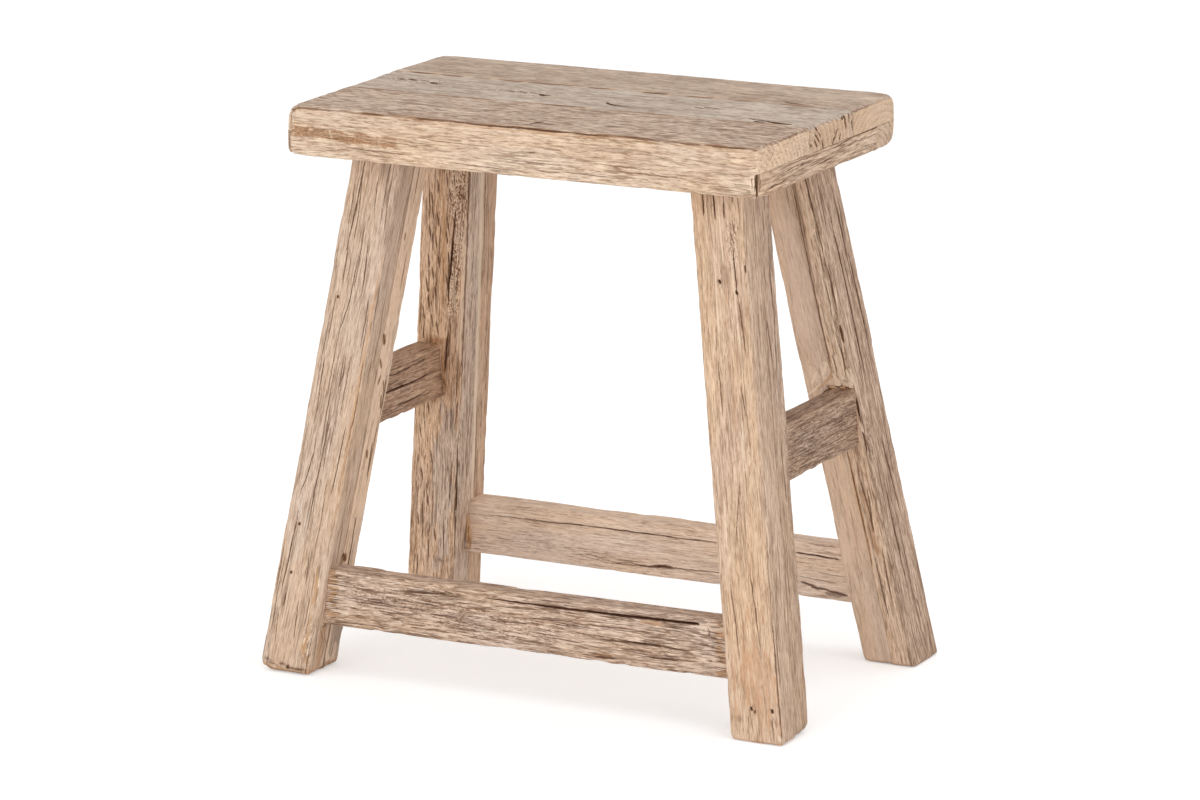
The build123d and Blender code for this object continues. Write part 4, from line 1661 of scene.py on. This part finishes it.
def back_right_leg():
    leg = leg_half("back", "right", "inner", 37)
    torn_round_joint(leg)
    back_right_seam(leg)
    finish_leg(leg, (0.6, 0.63, 0.22))
    leg = leg_half("back", "right", "outer", 38)
    leg.streak("rough", "front", [(240, 17), (300, 18), (360, 18)], 7, 0.5, 1)
    leg.streak("bare", "front", [(240, 16), (300, 17.5), (350, 19)], 6, 1, 1.3)
    back_right_seam(leg)
    # A broad brown line of painted shade under the seat, beside the glue seam
    leg.draw("front", [(440, 7), (370, 6.4), (305, 5.4)], 4.5, 0.45)
    leg.hairlines("front", 14, (14, 50), 0.9, 0.4, 930)
    leg.draw("front", [(280, 20.4), (265, 20.8)], 2.8, 1)
    leg.draw_like(
        "front", 2.4, 0.6,
        [(386, 10.8), (360, 14)], [(378, 14), (350, 12.5)], [(339, 12.7), (315, 15), (296, 12)],
        [(300, 18), (275, 14)], [(290, 9), (262, 12)], [(372, 17), (345, 19)], colour="pale",
    )
    leg.draw_like(
        "front", 1.5, 0.85, [(402, 17.4), (368, 18.6), (330, 19.6)],
        [(325, 20.4), (290, 20.6)], [(262, 17.6), (243, 17.4)], [(255, 8.6), (240, 9.6)],
        [(150, 14), (110, 12)], [(100, 16), (60, 15)], [(90, 8), (40, 9)],
    )
    for path in (
        [(264, 17), (300, 15), (339, 16)], [(234, 17), (275, 15)], [(110, 12), (172, 9)],
        [(345, 18), (405, 17)],
    ):
        leg.crack("front", path, 1.6, 1.2, 0.9, 0.75, int(path[0][0]))
    leg.cover("skin", "right", 1, spill=3)
    for path in ([(231, -1.7), (272, -2.4), (328, -2.7), (376, -4.7)], [(120, 8), (184, 2)],
                 [(300, 10), (390, 8)], [(250, 14), (330, 12)], [(60, -6), (150, -8)]):
        leg.crack("right", path, 1.8, 1.2, 0.7, 0.6, int(path[0][0]))
        leg.draw("right", path, 2.4, 0.9)
    leg.hairlines("right", 18, (14, 60), 1.6, 0.6, 931)
    leg.draw_like(
        "right", 2, 0.7, [(376, 14), (338, 12)], [(340, 2), (289, 4)],
        [(266, -6), (226, -8)], [(400, -12), (350, -14)], [(200, 12), (150, 10)],
        [(178, -12), (120, -14)], [(110, 2), (50, 0)],
    )
    torn_round_joint(leg)
    leg.crack("front", [(200, 20.6), (212, 20.9), (224, 20.6)], 1.4, 2.2, 0.3, 0.8, 12)
    leg.draw_all(
        "front", ([(227, 20.4), (216, 21.2), (206, 20.6)], 2.6),
        ([(194, 20.6), (186, 21), (177, 20.8)], 2.2),
    )
    leg.patch("bare", "front", (188, 20.5), (18, 3.5), 1)
    leg.patch("rough", "right", (190, -18), (20, 6), 0.9)
    leg.streak("stain", "front", [(90, 12), (150, 9)], 6, 0.6)
    finish_leg(leg, (0, 0.73, 0.52))


# Stretchers

def leg_inner_face(axis, height):
    """How far out the inner face of a leg lies at a height, along X or Y."""
    top = box_mm("edge_strip_front")[0][2]
    return LEG_FOOT[axis] + (LEG_HEAD[axis] - LEG_FOOT[axis]) * height / top - LEG_SIDE / 2


# What a stretcher's faces stand out before its wear takes its share
BAR_SWELL = 0.5


# How far the stretchers sit from their places in the drawing, and how much the front one climbs
# to the right, as the photo shows them
STRETCHER_SHIFT = {
    "stretcher_front": (0, 0, -3.2),
    "stretcher_back": (0, 0, 0),
    "stretcher_left": (-2.4, 0, 0),
    "stretcher_right": (2.4, 0, 0),
}
FRONT_STRETCHER_CLIMB = 0.006


def stretcher(name, grain, sign, seed, **relief):
    """A stretcher, its ends cut to the slope of the legs."""
    across = 1 - grain
    rise, top = LONG_RISE if grain == 0 else SIDE_RISE
    low, high = np.zeros(3), np.zeros(3)
    reach = leg_inner_face(grain, rise) + HOUSED_DEPTH
    slope = reach - leg_inner_face(grain, top) - HOUSED_DEPTH
    low[grain], high[grain] = -reach, reach
    outer = leg_inner_face(across, top) + LEG_SIDE - STRETCHER_SETBACK
    faces = sorted((sign * outer, sign * (outer - STRETCHER_THICKNESS)))
    low[across], high[across] = faces
    low[2], high[2] = rise, top
    shift = np.zeros(3)
    shift[grain] = slope
    slides = (({grain: 0, 2: 1}, shift), ({grain: 1, 2: 1}, -shift))
    ends = ("left", "right") if grain == 0 else ("front", "back")
    low, high = low + STRETCHER_SHIFT[name], high + STRETCHER_SHIFT[name]
    bar = Timber(name, grain, low, high, seed, slides=slides, hidden=ends)
    radii = {side: STRETCHER_EASE for side in SIDES}
    radii.update({side: HIDDEN_EASE for side in ends})
    bar.ease(radii, wear=0.7)
    bar.stand_in_place()
    if name == "stretcher_front":
        bar.point[:, 2] += bar.point[:, 0] * FRONT_STRETCHER_CLIMB
    bar.swell(BAR_SWELL)
    bar.weather(**relief)
    return bar


# The long split near the front stretcher's top, which is widest at the right: (along, height)
FRONT_STRETCHER_SPLIT = [(-34, 79), (40, 79.6), (101, 80.6), (151, 81.8)]

# Where short dark shakes run in the front stretcher's face: (along, height)
FRONT_STRETCHER_SHAKES = (
    (-150, 66), (-128, 69), (-112, 62), (-96, 65), (-118, 58), (-80, 60), (-62, 63), (-44, 66),
    (-30, 61), (-12, 64), (10, 60), (24, 67), (46, 62), (62, 57), (84, 60), (104, 64), (112, 54),
)


def front_stretcher():
    bar = stretcher("stretcher_front", 0, -1, 41, sway=0.8, ridge=0.5, chips=1.2)
    bar.crack("front", FRONT_STRETCHER_SPLIT, 2, 3.6, 0.2, 0.9, 1, 0.2, blunt=True)
    bar.draw("front", FRONT_STRETCHER_SPLIT, 2.9, 1, (0, 0.6))
    bar.draw_all(
        "front", ([(40, 81.6), (90, 82.6), (140, 84)], 3, 0.35),
        ([(66, 59.2), (88, 59.6), (113, 60.6), (132, 59.8), (143, 59.4)], 2.2, 0.9),
        ([(146, 85.5), (159, 83.5)], 4, 0.6), ([(62, 44.5), (82, 46)], 2.6, 0.8),
        ([(-104, 76.7), (-88, 76.4), (-64, 78.2)], 2, 0.8),
        ([(-150, 72), (-120, 71.5)], 1.4, 0.7), ([(-140, 64), (-112, 62.5)], 1.6, 0.8),
        ([(-130, 57), (-98, 56)], 1.4, 0.7), ([(-96, 68), (-70, 67)], 1.3, 0.7),
        ([(-84, 60), (-58, 60.5)], 1.6, 0.7), ([(-50, 70), (-20, 71)], 1.3, 0.7),
        ([(-30, 62), (4, 63)], 1.6, 0.8), ([(6, 68), (44, 70)], 1.4, 0.8),
        ([(20, 55), (52, 54)], 1.4, 0.7), ([(60, 69), (96, 70.5)], 1.5, 0.8),
        ([(84, 54), (112, 54.5)], 1.6, 0.8), ([(104, 66), (140, 67)], 1.4, 0.7),
        ([(120, 51), (150, 52)], 1.5, 0.7), ([(-10, 49), (24, 48.5)], 1.3, 0.6),
        ([(-70, 52), (-40, 51)], 1.3, 0.6),
    )
    for along in (153.4, 157.2):
        path = [(along, 75), (along + 0.8, 78), (along - 0.4, 80.5)]
        bar.draw("front", path, 1.6, 0.4, colour="pale")
    bar.draw_all(
        "front", ([(159.9, 72.5), (160.6, 76), (159.6, 80)], 1.4, 0.6),
        ([(151.5, 72.4), (156, 71.4), (160.4, 71.8)], 1.6, 0.7),
        ([(150.5, 66.5), (160.4, 65.8)], 2.2, 0.6),
    )
    bar.hairlines("front", 36, (10, 46), 1, 0.7, 940)
    bar.crack("front", [(-88, 79.2), (-62, 78.4)], 1.8, 1.6, 0.5, 0.5, 2)
    bar.crack("front", [(38, 62.5), (66, 60.5), (96, 61), (130, 57.5)], 1.4, 1.4, 0.5, 0.5, 4)
    bar.gouge("front", (156, 77.5), (4.5, 5), -0.6, 0, 0.2)
    bar.patch("bare", "front", (156, 77.5), (4.6, 5), 1, 0.2)
    for along, across in ((84, 46.5), (70, 45.5), (112, 78)):
        bar.patch("stain", "front", (along, across), (12, 1.6), 0.8)
    bar.streak("rough", "front", [(-160, 68), (-60, 62), (30, 58)], 22, 0.3, 1)
    for along, across in FRONT_STRETCHER_SHAKES:
        path = [(along, across), (along + 14, across - 0.6), (along + 30, across + 0.4)]
        bar.crack("front", path, 1.5, 1, 0.9, 0.55, int(along + 300))
    for end in (-1, 1):
        for number in range(11):
            height = 46 + number * 3.8
            start = end * (176 - number * 0.6)
            path = [(start, height), (start - end * (10 + number % 3 * 4), height + 0.4)]
            bar.crack("front", path, 1.4, 1, 0.5, 0.75, 40 + number)
        bar.patch("stain", "front", (end * 169, 66), (7, 30), 1, 0.9)
        bar.patch("bare", "front", (end * 161, 68), (9, 24), 0.8, 1.3)
    bar.checks("front", 40, (6, 34), 0.8, 0.4, seed=600, width=1.2)
    bar.checks("top", 20, (12, 40), 0.8, 0.6, seed=700)
    bar.checks("under", 14, (12, 40), 0.8, 0.6, seed=800)
    bar.checks("back", 24, (12, 40), 0.8, 0.6, seed=900)
    bar.finish("stretchers", "front stretcher", (0.25, 0.81, 0.33), wood(
        (238, 213, 192), (198, 169, 147), (132, 100, 77), 1.15, 0.16, 0.85, 0.6, 0.75, 0.42,
        0.64, stain_colour=(208, 166, 124), sway=0.004, rings=0.06, pith=(0, 0.7, 0.6),
    ), relief=0.0008)


def back_stretcher():
    bar = stretcher("stretcher_back", 0, 1, 42, sway=0.6, ridge=0.3, chips=0.9)
    bar.crack("front", [(-178, 76.6), (-133, 77), (-60, 78.6), (53, 78.3), (165, 78.6)],
              1.6, 2.2, 0.4, 0.5, 1)
    bar.crack("front", [(-96, 49), (-70, 51), (-20, 52.6), (60, 51)], 1.6, 1.4, 1.2, 0.5, 2)
    bar.crack("front", [(-80, 54), (-20, 55.5)], 1.4, 1.2, 1.2, 0.4, 3)
    bar.crack("front", [(123, 79), (162, 77.5)], 1.6, 1.6, 0.6, 0.5, 4)
    bar.gouge("front", (5, 52.8), (7, 2.8), 1.2, 0.6, 0.8)
    bar.draw_all(
        "front", ([(-168, 77.2), (-60, 78.4), (53, 78.2)], 1, 0.7),
        ([(123, 79), (142, 78.8), (162, 77.5)], 1.7, 0.9),
        ([(-53, 49.4), (-16, 51.2), (4, 52.6), (29, 53.1), (56, 54.2), (74, 54.2)], 1.3, 0.8),
        ([(-6, 52), (6, 53.2), (14, 52.8)], 3.4, 0.9), ([(-14, 51), (2, 51.4)], 2, 0.8),
        ([(-40, 53), (-10, 54.5)], 1.2, 0.5), ([(-71, 53), (-48, 51)], 1.2, 0.5),
        ([(118, 72), (140, 71)], 1.2, 0.5), ([(127, 55.5), (140, 53.4)], 2.6, 0.9),
        ([(136, 52.4), (152, 51.6)], 2.6, 0.9), ([(150, 51), (169, 49)], 2.8, 0.9),
        ([(124, 60), (160, 58)], 1.2, 0.6), ([(130, 66), (166, 64)], 1, 0.5),
        ([(132, 88), (160, 87)], 1.3, 0.6),
    )
    for along, across in ((132, 53), (142, 51), (152, 49), (163, 48)):
        bar.gouge("front", (along, across), (8, 2.4), 1, 0.5, 1.8)
    bar.checks("front", 24, (8, 30), 0.5, 0.5, seed=600, width=1.3)
    bar.checks("top", 14, (12, 40), 0.6, 0.5, seed=700)
    bar.checks("back", 24, (12, 40), 0.8, 0.6, seed=900)
    bar.finish("stretchers", "back stretcher", (0.65, 0.91, 0.13), wood(
        (248, 227, 208), (226, 200, 179), (164, 132, 109), 0.75, 0.06, 0.94, 0.5, 0.38, 0.2,
        rings=0.05, pith=(0, 0.8, 0.6),
    ))


def side_stretcher(x_name, sign, seed, tones):
    bar = stretcher("stretcher_" + x_name, 1, sign, seed, sway=0.7, ridge=0.4, chips=1)
    bar.checks("right", 44, (6, 30), 0.8, 0.6, seed=600, width=1.6)
    bar.checks("left", 20, (6, 26), 0.8, 0.5, seed=650)
    bar.checks("top", 14, (12, 40), 0.7, 0.5, seed=700)
    if sign < 0:
        bar.crack("right", [(-50, 205.5), (-28, 204.9), (19, 204.2), (40, 206)],
                  2, 2.4, 0.4, 0.7, 1)
        bar.draw("right", [(-58, 206), (-28, 204.9), (19, 204.2), (46, 206)], 1.9, 0.8)
        bar.crack("right", [(-20, 192), (50, 190)], 1.6, 1.2, 0.8, 0.8, 2)
        bar.crack("right", [(-40, 216), (45, 219)], 1.6, 1.2, 0.8, 0.8, 3)
    else:
        bar.draw_like(
            "right", 1.2, 0.45, [(-48, 221), (-10, 220)], [(-44, 208), (-8, 207)],
            [(-30, 196), (20, 194.5)], [(-4, 212), (38, 211)], [(10, 202), (58, 200)],
            [(24, 190), (62, 189)], [(30, 219), (56, 218)], [(-40, 188), (-6, 187)],
        )
        bar.draw("right", [(62, 222), (66, 205), (64, 188)], 4, 0.5, colour="gold")
        bar.patch("skin", "right", (50, 213), (12, 8), 0.3)
        bar.patch("rough", "right", (10, 204), (70, 20), 0.4)
    shift = (0.4, 0.21 * (2 + sign), 0.5)
    bar.finish("stretchers", x_name + " stretcher", shift, tones, relief=0.0008)


# Old glue and filler that has squeezed out of the joints and set in lumpy lines

# For each line: its grain axis, its greatest width, and its path over the stool
BEADS = {
    "glue_bead_back_left": (2, 4.4, [(-173.6, 98.6, 44), (-174, 98.6, 60), (-175.6, 98.4, 86)]),
    "glue_bead_side_left": (2, 3.8, [(-172.2, 62.6, 183), (-171.9, 61, 205), (-172.3, 59.2, 229)]),
    "glue_bead_side_right": (0, 3.6, [(171.5, 58.6, 227.6), (183, 58.6, 228.4), (193, 58.8, 227)]),
    "glue_bead_front_right": (2, 4, [(177.2, -119.4, 46), (175.6, -119.6, 66), (173, -119.8, 88)]),
}
BEAD_CELL = 0.9


def joint_beads():
    for seed, (name, (grain, width, path)) in enumerate(BEADS.items(), 61):
        joint_bead(name, grain, width, path, seed)


def joint_bead(name, grain, width, path, seed):
    """A thin bar, rounded, thickened and thinned into lumps, and laid along its path."""
    stations = [place[grain] for place in path]
    low, high = np.full(3, -width / 2), np.full(3, width / 2)
    low[grain], high[grain] = stations[0], stations[-1]
    cells = [6, 6, 6]
    cells[grain] = even_cells(high[grain] - low[grain], BEAD_CELL)
    bead = Timber(name, grain, low, high, seed, cells=cells)
    bead.ease({side: width * 0.48 for side in SIDES}, wear=0)
    share = (bead.point[:, grain] - low[grain]) / (high[grain] - low[grain])
    lumps = 0.25 + 1.1 * bead.noise(5, 60, 1) * (0.6 + 0.6 * bead.noise(2.4, 1.6, 2))
    lumps *= np.clip(5 * share * (1 - share), 0.15, 1)
    for axis in {0, 1, 2} - {grain}:
        middle = np.interp(bead.point[:, grain], stations, [place[axis] for place in path])
        bead.point[:, axis] = middle + bead.point[:, axis] * lumps
    bead.finish("stretchers", name.replace("_", " "), (0.1, 0.2, 0.3), wood(
        (226, 190, 150), (196, 154, 114), (140, 98, 66), 0.4, 0.6, 0.51, 0.2, 0, sway=0.002,
        rings=0, pith=(0, 0.5, 0.7),
    ), relief=0.0004, own=False)


# Cleats and screws under the seat keep their sawn and turned shapes, with a finish

def cleat_finish():
    for x_name, shift in (("left", (0.3, 0.9, 0.9)), ("right", (0.8, 0.5, 0.9))):
        material = timber_material(x_name + " cleat", 1, shift, None, 0.0003, wood(
            (222, 198, 172), (200, 172, 146), (158, 126, 100), 0.7, 0.14, 0.77, 0.5, 0.22,
            rings=0.2, pith=(0, 0.7, 0.9),
        ))
        dress(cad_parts["cleat_" + x_name], material)


def dress(node, material):
    node.data.materials.clear()
    node.data.materials.append(material)


def screw_finish():
    material = bpy.data.materials.new("dull zinc screws")
    material.use_nodes = True
    w = Wiring(material.node_tree)
    shader = material.node_tree.nodes["Principled BSDF"]
    coordinates = w.add("TexCoord")
    blotch = w.noise(coordinates.outputs["Object"], 900, 900, 3, 0.6)
    w.feed(shader.inputs["Base Color"], w.mix(w.step(blotch, 0.4, 0.7), paint(176, 174, 168),
                                              paint(120, 108, 94)))
    w.feed(shader.inputs["Roughness"], w.step(blotch, 0.3, 0.8, 0.35, 0.7))
    shader.inputs["Metallic"].default_value = 0.9
    dress(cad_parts["cleat_screws"], material)


# Light, floor and camera

WHITE = (1, 1, 1, 1)
WORLD_LIGHT = 0.8
FLOOR_SIDE = 40.0
FLOOR_TONE = (0.82, 0.82, 0.82, 1)
FLOOR_ROUGHNESS = 0.9
FLOOR_LIFT = 0.36

# For each lamp: its power, its size, where it stands and what it is turned to
LAMPS = (
    ("soft front light", 28, 1.8, (-0.7, -3, 1), (0, 0, 0.2)),
    ("soft top light", 7, 1.4, (0.4, 0.2, 2.4), (0, 0, 0.3)),
    ("soft side light", 22, 1.8, (3, -0.8, 0.8), (0, 0, 0.2)),
)


def studio():
    scene = bpy.context.scene
    scene.view_settings.view_transform = "Standard"
    world = bpy.data.worlds.new("pale studio")
    scene.world = world
    world.use_nodes = True
    world.node_tree.nodes.clear()
    w = Wiring(world.node_tree)
    seen = seen_directly(w)
    background = w.add("Background")
    background.inputs["Color"].default_value = WHITE
    w.feed(background.inputs["Strength"], w.step(seen, 0, 1, WORLD_LIGHT, 1))
    w.feed(w.add("OutputWorld").inputs["Surface"], background.outputs[0])

    bpy.ops.object.select_all(action="DESELECT")
    bpy.ops.mesh.primitive_plane_add(size=1, location=(0, 0, 0))
    floor = bpy.context.object
    floor.name = "studio_floor"
    floor.scale = (FLOOR_SIDE, FLOOR_SIDE, 1)
    bpy.ops.object.transform_apply(location=False, rotation=False, scale=True)
    floor.data.materials.append(floor_material())

    for name, power, size, place, aim in LAMPS:
        lamp = bpy.data.lights.new(name, "AREA")
        lamp.energy = power
        lamp.size = size
        holder = bpy.data.objects.new(name, lamp)
        scene.collection.objects.link(holder)
        holder.location = place
        holder.rotation_euler = (Vector(aim) - Vector(place)).to_track_quat("-Z", "Y").to_euler()


def seen_directly(w):
    """1 for the rays that look straight, by gloss or through glass at the backdrop."""
    path = w.add("LightPath").outputs
    seen = w.most(path["Is Camera Ray"], path["Is Glossy Ray"])
    return w.most(seen, path["Is Transmission Ray"])


def floor_material():
    material = bpy.data.materials.new("pale floor")
    material.use_nodes = True
    w = Wiring(material.node_tree)
    shader = material.node_tree.nodes["Principled BSDF"]
    shader.inputs["Base Color"].default_value = FLOOR_TONE
    shader.inputs["Roughness"].default_value = FLOOR_ROUGHNESS
    shader.inputs["Specular IOR Level"].default_value = 0.0
    shader.inputs["Emission Color"].default_value = WHITE
    w.feed(shader.inputs["Emission Strength"], w.step(seen_directly(w), 0, 1, 0, FLOOR_LIFT))
    return material


CAMERA_PLACE = (2.01589, -3.66913, 1.25357)
CAMERA_LENS = 166.54
CAMERA_FRAME = 36
CAMERA_SIGHT = 60
CAMERA_YAW = 28.7395
CAMERA_PITCH = -13.9711
CAMERA_ROLL = -0.8329


def camera():
    """The photograph's own viewpoint, found from the edges of the stool."""
    lens = bpy.data.cameras.new("camera")
    lens.lens = CAMERA_LENS
    lens.sensor_width = CAMERA_FRAME
    lens.sensor_fit = "HORIZONTAL"
    lens.clip_end = CAMERA_SIGHT
    holder = bpy.data.objects.new("camera", lens)
    bpy.context.scene.collection.objects.link(holder)
    turn = Matrix.Rotation(math.radians(CAMERA_YAW), 4, "Z")
    tilt = Matrix.Rotation(math.radians(90 + CAMERA_PITCH), 4, "X")
    roll = Matrix.Rotation(math.radians(CAMERA_ROLL), 4, "Z")
    holder.matrix_world = Matrix.Translation(CAMERA_PLACE) @ turn @ tilt @ roll
    bpy.context.scene.camera = holder


def build():
    front_board()
    middle_board()
    back_board()
    front_strip()
    end_strip("left", 0, 22)
    end_strip("right", 1, 23)
    back_strip()
    front_left_leg()
    front_right_leg()
    back_left_leg()
    back_right_leg()
    front_stretcher()
    back_stretcher()
    side_stretcher("left", -1, 43, wood(
        (222, 188, 160), (186, 152, 127), (136, 103, 81), 1, 0.14, 0.85, 0.6, 0.6, 0.4,
        sway=0.004, rings=0.05, pith=(0, 0.5, 0.7),
    ))
    side_stretcher("right", 1, 44, wood(
        (202, 173, 150), (160, 132, 112), (114, 87, 70), 1.15, 0.12, 0.42, 0.6, 0.52, 0.35, 0.64,
        skin_light=(178, 160, 143), skin_dark=(112, 96, 83), sway=0.004, rings=0.05,
        pith=(0, 0.5, 0.7),
    ))
    joint_beads()
    cleat_finish()
    screw_finish()


build()
studio()
camera()
